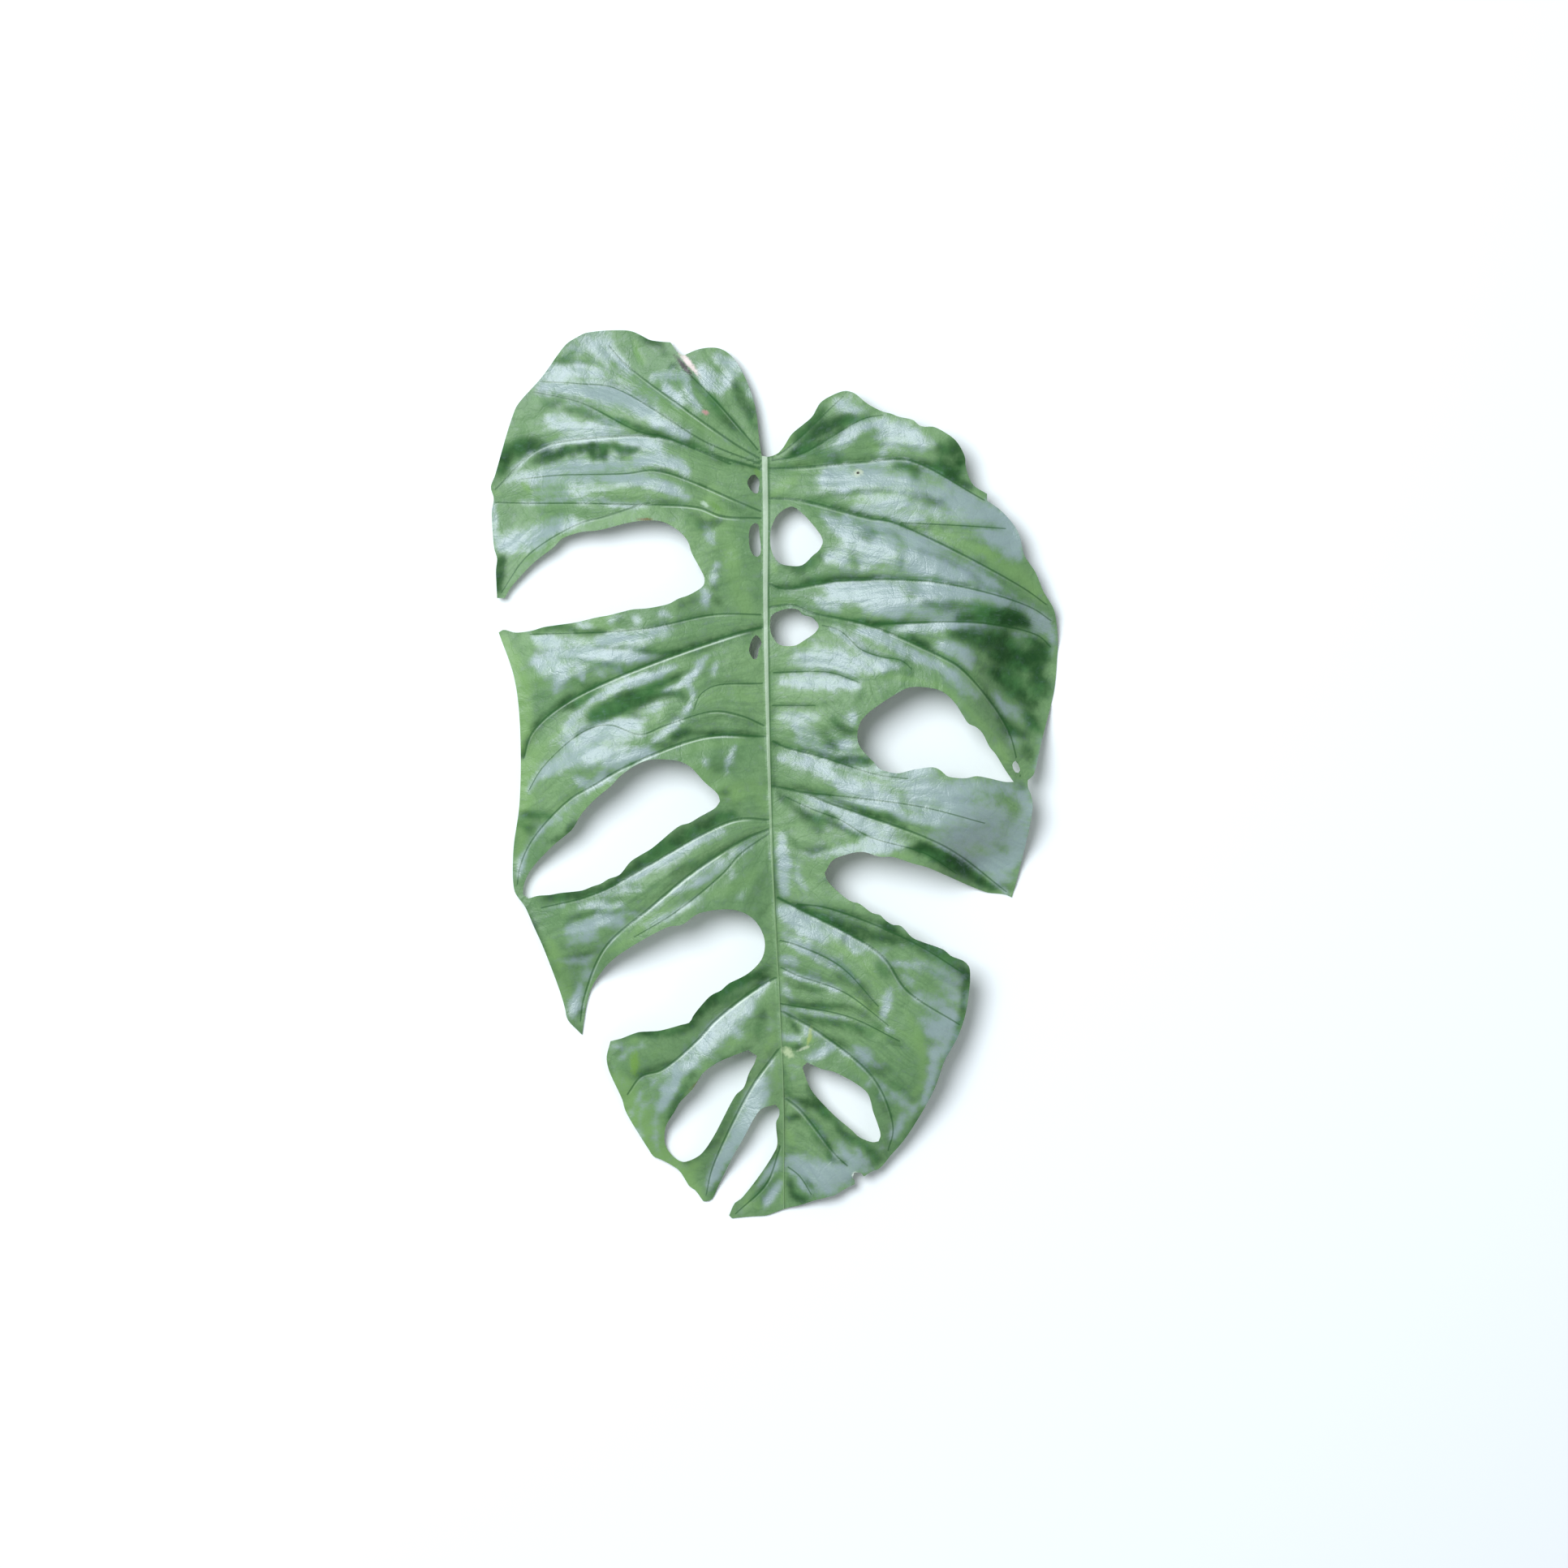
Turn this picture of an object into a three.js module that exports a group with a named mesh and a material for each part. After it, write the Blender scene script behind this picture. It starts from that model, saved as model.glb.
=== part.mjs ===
// A picked monstera leaf, lying face up on a level surface.
// Millimetres, +Z up. The stalk end points to +Y, the drip tip to -Y, and the leaf's left half to -X.
// One closed solid: the blade with its slots and holes, the midrib, the side veins and the cut stalk end.
import * as THREE from "three";

// Driving dimensions of the blade.
const bladeThickness = 1;
const marginThickness = 0.8;
const marginBand = 6;
const halfWidth = 150;
const widestAt = 40;
const reachFromWidest = 262;
const leafLift = 19;

// Driving dimensions of the midrib and of the ribs under the side veins.
const midribTopWidth = 3.4;
const midribTopHeight = 0.7;
const midribGrooveDepth = 0.9;
const midribGrooveReach = 5;
const midribRibDepth = 4.2;
const midribRibWidth = 3.6;
const midribThinning = 0.8;
const stalkY = 164;
const tipY = -231;
const stalkFlare = 2.4;
const stalkFlareLength = 14;
const sideRibDepth = 1.3;
const sideRibWidth = 2.6;
const sideRibThinning = 0.75;

// Share of the full sinking at the start of a vein's fade, and how much of the half wave it runs through.
const veinFadeStart = 0.15;
const veinFadeSpan = 0.7;

// Mesh spacing: along the margin, the midrib and the veins, beside them, and in the fields between.
const marginStep = 6.5;
const rowStep = 8;
const veinRowOffset = 3.4;
const latticeStep = 8.6;

// Closest that two mesh points come in each kind of row, and how far each kind stays from the margin.
const midribPointGap = 1.53;
const besideMidribPointGap = 2.04;
const veinPointGap = 3.08;
const besideVeinPointGap = 2.89;
const restPointGap = 2;
const fieldPointGap = 5.68;
const midribClearOfMargin = 1.02;
const restClearOfMargin = 1.5;
const clearOfMargin = 2.6;
const fieldClearOfMargin = 3.6;

// Mesh points of a rest spot, as shares of its flat radius.
const restPoints = [[0, 0], [0.8, 0], [-0.4, 0.7], [-0.4, -0.7]];

// Narrowest that the blade's half width is taken to be near its ends, as a share squared.
const leastStretch = 0.05;

// Flattest triangle a turned edge may leave, least gain for turning it, and slack for a point on an edge.
const leastArea = 1e-6;
const leastGain = 1e-7;
const onEdge = 1e-9;
const edgeKeyBase = 100000;

// Height of the midrib from the drip tip to the top of the basal lobes, as [y, height].
const spineHeights = [
  [-236, 3], [-200, 8], [-150, 14], [-60, leafLift], [60, 18], [140, 14], [190, 9], [236, 4],
];

// Rise of the blade beside the midrib, as [share of the half width, height], left half first.
const crossHeights = [
  [-1.2, -20], [-0.95, -13], [-0.72, -2.5], [-0.4, 5], [-0.12, 2], [0, 0],
  [0.12, 1.4], [0.45, 7.5], [0.72, 8], [0.9, -1], [1, -9], [1.2, -19],
];

// Places where the drooping blade rests on the surface: centre, flat radius and how far the droop reaches.
const restSpots = [
  { x: -80, y: 222, flat: 8, reach: 46 },
  { x: -139, y: 138, flat: 7, reach: 36 },
  { x: -101, y: -122, flat: 5.5, reach: 40 },
  { x: -13, y: -226, flat: 5, reach: 44 },
  { x: 141, y: 52, flat: 8, reach: 46 },
  { x: 117, y: -56, flat: 6, reach: 42 },
];

// Broad swells and hollows of single lobes: centre, half lengths along and across, turn in degrees, height.
const swells = [
  { x: -62, y: 196, along: 46, across: 15, turn: -38, height: 3 },
  { x: -90, y: 166, along: 42, across: 7, turn: 4, height: -3.4 },
  { x: -92, y: 150, along: 46, across: 10, turn: -2, height: 2.4 },
  { x: -78, y: 60, along: 46, across: 11, turn: 14, height: 3.2 },
  { x: -68, y: 36, along: 26, across: 8, turn: 24, height: -3.6 },
  { x: -96, y: 4, along: 34, across: 12, turn: 42, height: 2.6 },
  { x: -60, y: -58, along: 40, across: 9, turn: 34, height: 2.4 },
  { x: -34, y: -106, along: 30, across: 8, turn: 40, height: 2 },
  { x: 34, y: 178, along: 24, across: 12, turn: 38, height: 3.2 },
  { x: 84, y: 170, along: 26, across: 9, turn: -16, height: 3.4 },
  { x: 72, y: 112, along: 56, across: 9, turn: -22, height: 2.8 },
  { x: 96, y: 86, along: 46, across: 8, turn: -8, height: 2.6 },
  { x: 118, y: 40, along: 34, across: 10, turn: -60, height: -2.6 },
  { x: 62, y: -22, along: 52, across: 7, turn: -20, height: 2.6 },
  { x: 96, y: -50, along: 26, across: 7, turn: -24, height: -3.2 },
  { x: 70, y: -140, along: 40, across: 16, turn: -48, height: 2.6 },
  { x: 18, y: -176, along: 22, across: 7, turn: -58, height: -2.4 },
];

// The margin, one stretch from each sharp corner to the next, round the leaf from the sinus by the left.
const marginStretches = {
  leftSinusEdge: [
    [-3.5, 164.5], [-6.5, 165], [-7.5, 170.5], [-10.5, 193], [-20.5, 215], [-28.5, 221],
    [-39.5, 220.5], [-47, 217.5],
  ],
  leftCrownAndEdge: [
    [-47, 217.5], [-50.5, 219.5], [-54, 224.5], [-59.5, 225], [-65, 226], [-74.5, 230.5],
    [-98.5, 229.5], [-103.5, 227], [-108, 224], [-121.5, 206], [-130.5, 196], [-134, 191.5],
    [-145.5, 155], [-147.5, 149.5], [-146, 143.5], [-147, 137], [-145.5, 117], [-144, 112],
    [-144.5, 106.5], [-144, 91.5],
  ],
  firstLobeTip: [[-144, 91.5], [-140, 91.5]],
  upperLeftSlot: [
    [-140, 91.5], [-137.5, 96], [-124.5, 110], [-114.5, 117.5], [-110, 122], [-99, 125.5],
    [-92, 126], [-72, 130.5], [-58, 130.5], [-48, 124.5], [-44.5, 120], [-42.5, 114],
    [-36, 101], [-36.5, 97.5], [-45, 92], [-49.5, 90.5], [-54, 88], [-66, 85.5], [-73, 85],
    [-85.5, 82], [-91.5, 81], [-102.5, 78.5], [-120, 76], [-125, 74.5], [-134.5, 73.5],
    [-140.5, 75], [-143, 73.5],
  ],
  secondLobeEdge: [
    [-143, 73.5], [-135, 51], [-132, 29.5], [-132, -15], [-135.5, -40.5], [-134.5, -61.5],
    [-129.5, -68.5], [-125, -78.5], [-120, -89.5], [-110.5, -116], [-107.5, -127.5],
  ],
  thirdLobeTip: [[-107.5, -127.5], [-102.5, -133], [-100, -135.5]],
  lowerLeftSlot: [
    [-100, -135.5], [-98.5, -124.5], [-95.5, -112], [-90, -103], [-82.5, -95], [-54, -78.5],
    [-47.5, -77.5], [-39.5, -72], [-20.5, -70], [-10.5, -75], [-5, -85.5], [-6.5, -95.5],
    [-14.5, -103.5], [-23.5, -108], [-27.5, -111.5], [-32.5, -114], [-42, -125], [-43.5, -128],
    [-48.5, -129.5], [-59.5, -132.5], [-70.5, -133.5], [-79.5, -137], [-85, -138.5],
  ],
  fourthLobeEdge: [
    [-85, -138.5], [-87, -147], [-86, -153], [-79, -169], [-77.5, -174.5], [-65, -195.5],
    [-63, -198.5], [-58.5, -200.5], [-49.5, -206], [-44, -214.5], [-41.5, -216], [-37, -222],
  ],
  narrowLobeTip: [[-37, -222], [-34.5, -222], [-32.5, -221]],
  lastSlot: [
    [-32.5, -221], [-20, -195.5], [-17, -190.5], [-6.5, -173], [0.5, -171], [2.5, -173.5],
    [2.5, -177], [1, -180], [1, -183.5], [1.5, -192.5], [-17.5, -221], [-20.5, -223],
    [-23.5, -229.5], [-22, -231],
  ],
  dripTipEdge: [
    [-22, -231], [-12, -230], [-4.5, -229.5], [6.5, -225.5], [13, -224], [21.5, -221],
    [32, -218], [36, -215.5], [43, -212],
  ],
  bittenNick: [[43, -212], [40.5, -209.5], [41.5, -206.5], [44.5, -206.5], [46.5, -208.5]],
  lowerRightEdge: [
    [46.5, -208.5], [50.5, -206], [54.5, -204.5], [60.5, -197.5], [68, -188.5], [82.5, -163],
    [88, -147.5], [94, -137], [98.5, -124.5], [101, -105.5], [100.5, -99.5],
  ],
  rightSlot: [
    [100.5, -99.5], [98, -96.5], [91, -93.5], [87.5, -90.5], [71, -84], [65, -78], [61, -77.5],
    [57, -75], [54.5, -72.5], [50.5, -71.5], [43.5, -66.5], [39.5, -65.5], [27.5, -55],
    [26, -51], [30, -44.5], [45.5, -40], [54.5, -42.5], [60.5, -42.5], [71.5, -46],
    [77.5, -47.5], [111, -61.5], [120, -62.5], [123.5, -64],
  ],
  middleRightEdge: [[123.5, -64], [126, -55.5], [133.5, -16], [132.5, -10.5], [131, -6.5], [131, -3]],
  upperRightEdge: [
    [131, -3], [133.5, -1], [138.5, 17], [145.5, 43.5], [147, 59.5], [147.5, 67], [145, 85.5],
    [139.5, 94.5], [135, 105], [129.5, 113], [127, 123], [124.5, 128], [117, 136.5], [110, 141.5],
  ],
  rightCrown: [
    [110, 141.5], [110, 145], [102.5, 150], [99, 159], [98.5, 164], [94, 172], [82, 179.5],
    [77.5, 179.5], [74.5, 180.5], [72, 183], [64, 185], [60.5, 186.5], [56.5, 187.5],
    [48.5, 191.5], [41, 197.5], [36.5, 198.5], [24, 192.5], [19.5, 185], [9, 176], [4.5, 169],
    [1.5, 166], [-3.5, 164.5],
  ],
};

// The holes inside the blade, each a closed loop.
const holes = {
  longLeftHole: [
    [-130.5, -62.5], [-127.5, -51.5], [-114, -36.5], [-104.5, -28.5], [-99.5, -20.5],
    [-92, -12.5], [-83.5, -5.5], [-80, -1.5], [-66, 7], [-48.5, 6.5], [-43.5, 4], [-36, -4],
    [-29, -10.5], [-28, -14], [-30, -17], [-38.5, -22], [-43.5, -25], [-48.5, -26.5],
    [-63.5, -38.5], [-74, -45], [-80, -52], [-85.5, -54], [-89.5, -56.5], [-94, -58],
    [-99, -60], [-111, -61.5], [-116, -62.5], [-122.5, -63], [-127.5, -64.5],
  ],
  lowerLeftHole: [
    [-9, -145.5], [-13.5, -142.5], [-21.5, -145.5], [-28.5, -148.5], [-36.5, -154],
    [-42, -162.5], [-49, -170], [-51.5, -174.5], [-56.5, -183.5], [-56.5, -193], [-51, -200],
    [-47, -201.5], [-39, -198], [-32.5, -189.5], [-19.5, -165.5], [-16, -162.5], [-13, -154.5],
  ],
  lowerRightHole: [
    [17, -149], [25, -152.5], [30, -153.5], [35.5, -156], [48, -164.5], [51, -174], [55, -187],
    [54, -190], [51, -190.5], [43.5, -187.5], [40.5, -184.5], [31.5, -177], [19.5, -164],
    [17, -159], [14.5, -151.5],
  ],
  rightHole: [
    [44.5, 27], [60.5, 40], [69, 44.5], [85.5, 43], [93.5, 36], [100, 26], [103.5, 24.5],
    [107, 21.5], [111, 14], [114, 10.5], [119, 2.5], [123.5, -4], [104, -1], [99, -2], [89, -1],
    [85.5, 2], [82, 3.5], [72.5, 2.5], [63.5, 0.5], [54, 3], [51.5, 6], [43.5, 15.5],
  ],
  firstPinhole: [[-10.5, 155.5], [-14, 151], [-10.5, 145.5], [-8.5, 145.5], [-8, 148.5], [-7.5, 151]],
  secondPinhole: [
    [-10, 130], [-12.5, 127.5], [-12.5, 116.5], [-10.5, 113], [-8, 112.5], [-7, 115],
    [-7.5, 123.5], [-8.5, 129.5],
  ],
  thirdPinhole: [[-9.5, 72], [-13, 64], [-10, 59], [-8.5, 61], [-8, 64.5], [-6.5, 68]],
  roundEyelet: [
    [9, 138.5], [2, 134.5], [-2, 125], [-1.5, 116], [2, 109.5], [14.5, 108], [20, 113],
    [23, 115.5], [25, 119.5], [24.5, 122.5],
  ],
  longEyelet: [
    [6.5, 85.5], [-1, 82.5], [-2, 80], [-1.5, 72.5], [2.5, 67], [11, 66.5], [14.5, 68.5],
    [21.5, 73.5], [23, 76.5], [19.5, 81], [14.5, 82.5], [12.5, 85],
  ],
  speckHole: [[124.5, 7], [123, 5.5], [123, 3.5], [124, 1.5], [125.5, 0.5], [127, 2]],
};

// The midrib from the cut stalk end to the drip tip.
const midribPath = [
  [-5, 164], [-4.5, 132], [-4.5, 81.5], [-1.5, -36], [2.5, -116], [4.6, -166.5], [4.8, -225],
];

// Side veins from the midrib outwards. Depth is how far the blade sinks along the vein, and reach is how
// far that sinking spreads to each side.
const sideVeins = {
  leftSinusVein: { depth: 2, reach: 7, points: [[-7, 166.5], [-27.5, 190.5], [-46, 209.5]] },
  leftCrownVein: { depth: 2.6, reach: 8, points: [[-6.5, 163], [-22.5, 172.5], [-78, 214]] },
  leftUpperVein: {
    depth: 2.4, reach: 8, points: [[-6.5, 160.5], [-35.5, 172], [-83.5, 201], [-122, 204.5]],
  },
  firstLobeVein: {
    depth: 3, reach: 8, points: [[-6.5, 158], [-35.5, 166.5], [-60, 174.5], [-123, 169], [-142, 151]],
  },
  firstLobeLowVein: { depth: 2, reach: 8, points: [[-6.5, 136], [-60.5, 157], [-132, 153.5]] },
  firstSlotVein: {
    depth: 2.2, reach: 8, points: [[-6.5, 132.5], [-39.5, 138], [-78, 137.5], [-127.5, 114], [-141, 97]],
  },
  slotLowerVein: { depth: 2, reach: 6, points: [[-6.5, 82.5], [-31, 82.5], [-64.5, 75], [-127.5, 72]] },
  secondLobeVein: {
    depth: 3.4, reach: 9, points: [[-6, 76], [-20.5, 72.5], [-104.5, 39], [-125.5, 21.5]],
  },
  secondLobeLowVein: {
    depth: 1.8, reach: 8, points: [[-5, 25], [-31, 32.5], [-69, 20.5], [-98.5, 22], [-127.5, -9]],
  },
  longHoleVein: {
    depth: 2.4, reach: 7,
    points: [[-4.5, 19.5], [-35.5, 19.5], [-79.5, 2.5], [-106.5, -13.5], [-125.5, -34], [-133, -58]],
  },
  thirdLobeTopVein: {
    depth: 2.8, reach: 8, points: [[-2.5, -23.5], [-20.5, -23.5], [-92, -61.5], [-121.5, -69.5]],
  },
  thirdLobeVein: {
    depth: 3, reach: 8,
    points: [[-2, -28], [-14.5, -33], [-39.5, -48.5], [-64.5, -69], [-88, -90], [-101, -126]],
  },
  thirdLobeLowVein: { depth: 1.8, reach: 7, points: [[-17.5, -41], [-50, -70.5], [-73, -84.5]] },
  fourthLobeVein: {
    depth: 3, reach: 8,
    points: [[1, -105], [-10, -111], [-39.5, -137], [-58.5, -153], [-76.5, -170]],
  },
  narrowLobeVein: { depth: 2.2, reach: 7, points: [[3, -141], [-12, -162], [-32, -204], [-35.5, -217]] },
  dripTipVein: { depth: 1.8, reach: 6, points: [[4, -189.5], [-4, -212.5], [-18, -227]] },
  rightSinusVein: { depth: 2, reach: 7, points: [[-2, 164], [4.5, 167], [36, 196]] },
  rightCrownVein: { depth: 1.6, reach: 7, points: [[-1.5, 162], [13, 165.5], [57, 185]] },
  rightShoulderVein: { depth: 3.8, reach: 9, points: [[-2.5, 158.5], [13, 159], [69.5, 162.5], [107, 142]] },
  rightUpperVein: {
    depth: 3.4, reach: 9, points: [[-2.5, 143], [13, 142], [48.5, 132.5], [80, 123], [128.5, 96.5]],
  },
  rightMiddleVein: {
    depth: 2.2, reach: 8, points: [[-2.5, 98.5], [36, 100], [82.5, 99], [132.5, 86.5]],
  },
  eyeletVein: {
    depth: 3.6, reach: 9,
    points: [[-2.5, 86.5], [9, 87.5], [26, 81], [48.5, 77], [86.5, 60.5], [97, 54], [120, 25], [127, -2]],
  },
  eyeletBranch: { depth: 3, reach: 8, points: [[51, 77.5], [107.5, 78], [140, 70]] },
  shortRightVein: { depth: 1.4, reach: 6, points: [[-1, 52.5], [28.5, 52.5], [44.5, 47]] },
  rightHoleVein: { depth: 2.2, reach: 7, points: [[-1.5, 17.5], [27.5, 8], [55, -1]] },
  thirdRightVein: {
    depth: 3.6, reach: 8, points: [[-1.5, -6], [13, -9], [27.5, -14.5], [88.5, -37.5], [120, -60]],
  },
  thirdRightBranch: { depth: 2, reach: 7, points: [[13, -9], [74, -16.5], [109.5, -25.5]] },
  fourthRightVein: {
    depth: 3.2, reach: 9, points: [[1.5, -63.5], [55, -93], [68.5, -111.5], [96, -129.5]],
  },
  fourthRightBranch: { depth: 1.8, reach: 7, points: [[27.5, -69], [69.5, -85.5], [98, -103]] },
  lowRightVein: { depth: 2, reach: 7, points: [[2, -99], [36, -112.5], [59, -129.5]] },
  lowerRightVein: {
    depth: 2.8, reach: 8, points: [[3, -122], [23.5, -133.5], [52, -158], [61.5, -183], [57, -198]],
  },
  lastRightVein: { depth: 2.4, reach: 7, points: [[4.6, -167], [13, -173.5], [32, -197.5], [38, -204]] },
};

// A smooth curve through a list of [x, y] points.
function curveThrough(points, closed) {
  const corners = points.map(([x, y]) => new THREE.Vector3(x, y, 0));
  return new THREE.CatmullRomCurve3(corners, closed, "centripetal");
}

// Points along a stretch of outline: every hand-set point, and more between those that lie far apart.
function sampleStretch(points, closed) {
  if (points.length === 2) {
    return [points[0]];
  }
  const curve = curveThrough(points, closed);
  const spans = closed ? points.length : points.length - 1;
  const samples = [];
  for (let span = 0; span < spans; span += 1) {
    const [x, y] = points[span];
    const [nextX, nextY] = points[(span + 1) % points.length];
    const pieces = Math.max(1, Math.round(Math.hypot(nextX - x, nextY - y) / marginStep));
    for (let piece = 0; piece < pieces; piece += 1) {
      const place = curve.getPoint((span + piece / pieces) / spans);
      samples.push([place.x, place.y]);
    }
  }
  return samples;
}

// Evenly spaced points along an open path.
function sampleRow(points, step) {
  const curve = curveThrough(points, false);
  const count = Math.round(curve.getLength() / step);
  return curve.getSpacedPoints(count).map((place) => [place.x, place.y]);
}

// The height at one place of a smooth curve through [place, height] pairs.
function heightThrough(pairs, at) {
  const last = pairs.length - 2;
  let i = 0;
  while (i < last && at > pairs[i + 1][0]) {
    i += 1;
  }
  const slope = (k) => {
    const before = pairs[Math.max(0, k - 1)];
    const after = pairs[Math.min(pairs.length - 1, k + 1)];
    return (after[1] - before[1]) / (after[0] - before[0]);
  };
  const [start, low] = pairs[i];
  const [end, high] = pairs[i + 1];
  const length = end - start;
  const t = THREE.MathUtils.clamp((at - start) / length, 0, 1);
  const rise = (3 - 2 * t) * t * t;
  return low * (1 - rise) + high * rise
    + length * t * (1 - t) * (slope(i) * (1 - t) - slope(i + 1) * t);
}

// The nearest place on a polyline: its distance from (x, y), its side and its share of the length.
function nearestOn(line, x, y) {
  let nearest = { distance: Infinity, side: 1, share: 0, x: 0 };
  for (let i = 0; i + 1 < line.length; i += 1) {
    const [ax, ay] = line[i];
    const [bx, by] = line[i + 1];
    const dx = bx - ax;
    const dy = by - ay;
    const along = ((x - ax) * dx + (y - ay) * dy) / (dx * dx + dy * dy);
    const t = THREE.MathUtils.clamp(along, 0, 1);
    const distance = Math.hypot(ax + dx * t - x, ay + dy * t - y);
    if (distance < nearest.distance) {
      const side = Math.sign(x - (ax + dx * t));
      nearest = { distance, side, share: (i + t) / (line.length - 1), x: ax + dx * t };
    }
  }
  return nearest;
}

const midrib = sampleRow(midribPath, rowStep);
const veinLines = Object.values(sideVeins).map((vein) => (
  { ...vein, line: sampleRow(vein.points, rowStep) }
));
const outline = Object.values(marginStretches).flatMap((points) => sampleStretch(points, false));
const holeLoops = Object.values(holes).map((points) => sampleStretch(points, true));
const rims = [outline, ...holeLoops].map((loop) => [...loop, loop[0]]);

// How deep the blade lies in its veins, and how thick the rib under the nearest one is.
function veinRelief(x, y) {
  let sink = 0;
  let rib = 0;
  for (const vein of veinLines) {
    const near = nearestOn(vein.line, x, y);
    const fade = Math.sin(Math.PI * (veinFadeStart + veinFadeSpan * near.share));
    sink = Math.max(sink, vein.depth * fade * Math.exp(-near.distance / vein.reach));
    const thin = 1 - sideRibThinning * near.share;
    rib = Math.max(rib, sideRibDepth * thin * Math.exp(-((near.distance / sideRibWidth) ** 2)));
  }
  return { sink, rib };
}

// The arched form of the whole blade, with the swells of its lobes.
function broadHeight(x, y) {
  const spine = heightThrough(spineHeights, y);
  const stretch = Math.sqrt(Math.max(leastStretch, 1 - ((y - widestAt) / reachFromWidest) ** 2));
  const share = (x - nearestOn(midrib, x, y).x) / (halfWidth * stretch);
  let height = spine + heightThrough(crossHeights, share) * spine / leafLift;
  for (const swell of swells) {
    const turn = THREE.MathUtils.degToRad(swell.turn);
    const along = (x - swell.x) * Math.cos(turn) + (y - swell.y) * Math.sin(turn);
    const across = (y - swell.y) * Math.cos(turn) - (x - swell.x) * Math.sin(turn);
    height += swell.height * Math.exp(-((along / swell.along) ** 2) - (across / swell.across) ** 2);
  }
  return height;
}

// How strongly the surface under a rest spot holds the blade down, from 0 to 1.
function pressAt(x, y) {
  let press = 0;
  for (const spot of restSpots) {
    const away = Math.hypot(x - spot.x, y - spot.y);
    press = Math.max(press, 1 - THREE.MathUtils.smoothstep(away, spot.flat, spot.reach));
  }
  return press;
}

// Top and bottom of the leaf at one place of its plan.
function leafFaces(x, y) {
  const { sink, rib } = veinRelief(x, y);
  const middle = nearestOn(midrib, x, y);
  const taper = 1 - midribThinning * THREE.MathUtils.clamp((stalkY - y) / (stalkY - tipY), 0, 1);
  const cord = Math.exp(-((middle.distance / (midribTopWidth / 2)) ** 4)) * midribTopHeight * taper;
  const besideCord = midribGrooveDepth * taper * Math.exp(-middle.distance / midribGrooveReach);
  const flare = stalkFlare * Math.exp(-(((stalkY - y) / stalkFlareLength) ** 2));
  const keel = (midribRibDepth * taper + flare) * Math.exp(-((middle.distance / midribRibWidth) ** 2));
  const rim = Math.min(...rims.map((loop) => nearestOn(loop, x, y).distance));
  const body = THREE.MathUtils.lerp(marginThickness, bladeThickness, Math.min(1, rim / marginBand));
  const press = pressAt(x, y);
  const loose = broadHeight(x, y) - sink + cord - besideCord;
  const top = THREE.MathUtils.lerp(Math.max(loose, body), body, press);
  const bottom = Math.max(0, top - body - Math.max(keel, rib) * (1 - press));
  return { top: Math.max(top, bottom + marginThickness), bottom };
}

// Whether a place lies inside a closed loop.
function isInside(loop, x, y) {
  let inside = false;
  for (let i = 0, j = loop.length - 1; i < loop.length; j = i, i += 1) {
    const [ax, ay] = loop[i];
    const [bx, by] = loop[j];
    if (ay > y !== by > y && x < ((bx - ax) * (y - ay)) / (by - ay) + ax) {
      inside = !inside;
    }
  }
  return inside;
}

// A row of points shifted sideways from a path.
function shiftedRow(line, offset) {
  return line.map(([x, y], i) => {
    const [ax, ay] = line[Math.max(0, i - 1)];
    const [bx, by] = line[Math.min(line.length - 1, i + 1)];
    const length = Math.hypot(bx - ax, by - ay);
    return [x - (by - ay) / length * offset, y + (bx - ax) / length * offset];
  });
}

// Points inside the blade: rows along the midrib and the veins, then a lattice in the fields between.
function fieldPoints() {
  const accepted = [];
  const tryPoint = ([x, y], spacing, rimGap) => {
    const onBlade = isInside(outline, x, y) && !holeLoops.some((loop) => isInside(loop, x, y));
    const clearOfRim = onBlade && rims.every((loop) => nearestOn(loop, x, y).distance > rimGap);
    if (clearOfRim && accepted.every(([px, py]) => Math.hypot(px - x, py - y) > spacing)) {
      accepted.push([x, y]);
    }
  };
  const topEdge = midribTopWidth / 2;
  for (const offset of [0, topEdge, -topEdge]) {
    shiftedRow(midrib, offset).forEach((place) => tryPoint(place, midribPointGap, midribClearOfMargin));
  }
  for (const offset of [midribGrooveReach, -midribGrooveReach]) {
    shiftedRow(midrib, offset).forEach((place) => tryPoint(place, besideMidribPointGap, clearOfMargin));
  }
  for (const vein of veinLines) {
    vein.line.forEach((place) => tryPoint(place, veinPointGap, clearOfMargin));
  }
  for (const vein of veinLines) {
    for (const offset of [veinRowOffset, -veinRowOffset]) {
      shiftedRow(vein.line, offset).forEach((place) => tryPoint(place, besideVeinPointGap, clearOfMargin));
    }
  }
  for (const spot of restSpots) {
    for (const [dx, dy] of restPoints) {
      tryPoint([spot.x + dx * spot.flat, spot.y + dy * spot.flat], restPointGap, restClearOfMargin);
    }
  }
  const rowGap = latticeStep * Math.sqrt(3) / 2;
  let rowNumber = 0;
  for (let y = tipY; y < -tipY + rowGap; y += rowGap) {
    const shift = rowNumber % 2 ? latticeStep / 2 : 0;
    for (let x = -halfWidth; x < halfWidth; x += latticeStep) {
      tryPoint([x + shift, y], fieldPointGap, fieldClearOfMargin);
    }
    rowNumber += 1;
  }
  return accepted;
}

// Twice the signed area of a triangle in plan.
function area([ax, ay], [bx, by], [cx, cy]) {
  return (bx - ax) * (cy - ay) - (by - ay) * (cx - ax);
}

// Whether d lies inside the circle through a, b and c, which run anticlockwise.
function inCircle(a, b, c, d) {
  const rows = [a, b, c].map(([x, y]) => {
    const dx = x - d[0];
    const dy = y - d[1];
    return [dx, dy, dx * dx + dy * dy];
  });
  const [[ax, ay, az], [bx, by, bz], [cx, cy, cz]] = rows;
  return az * (bx * cy - by * cx) - bz * (ax * cy - ay * cx) + cz * (ax * by - ay * bx) > leastGain;
}

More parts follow.
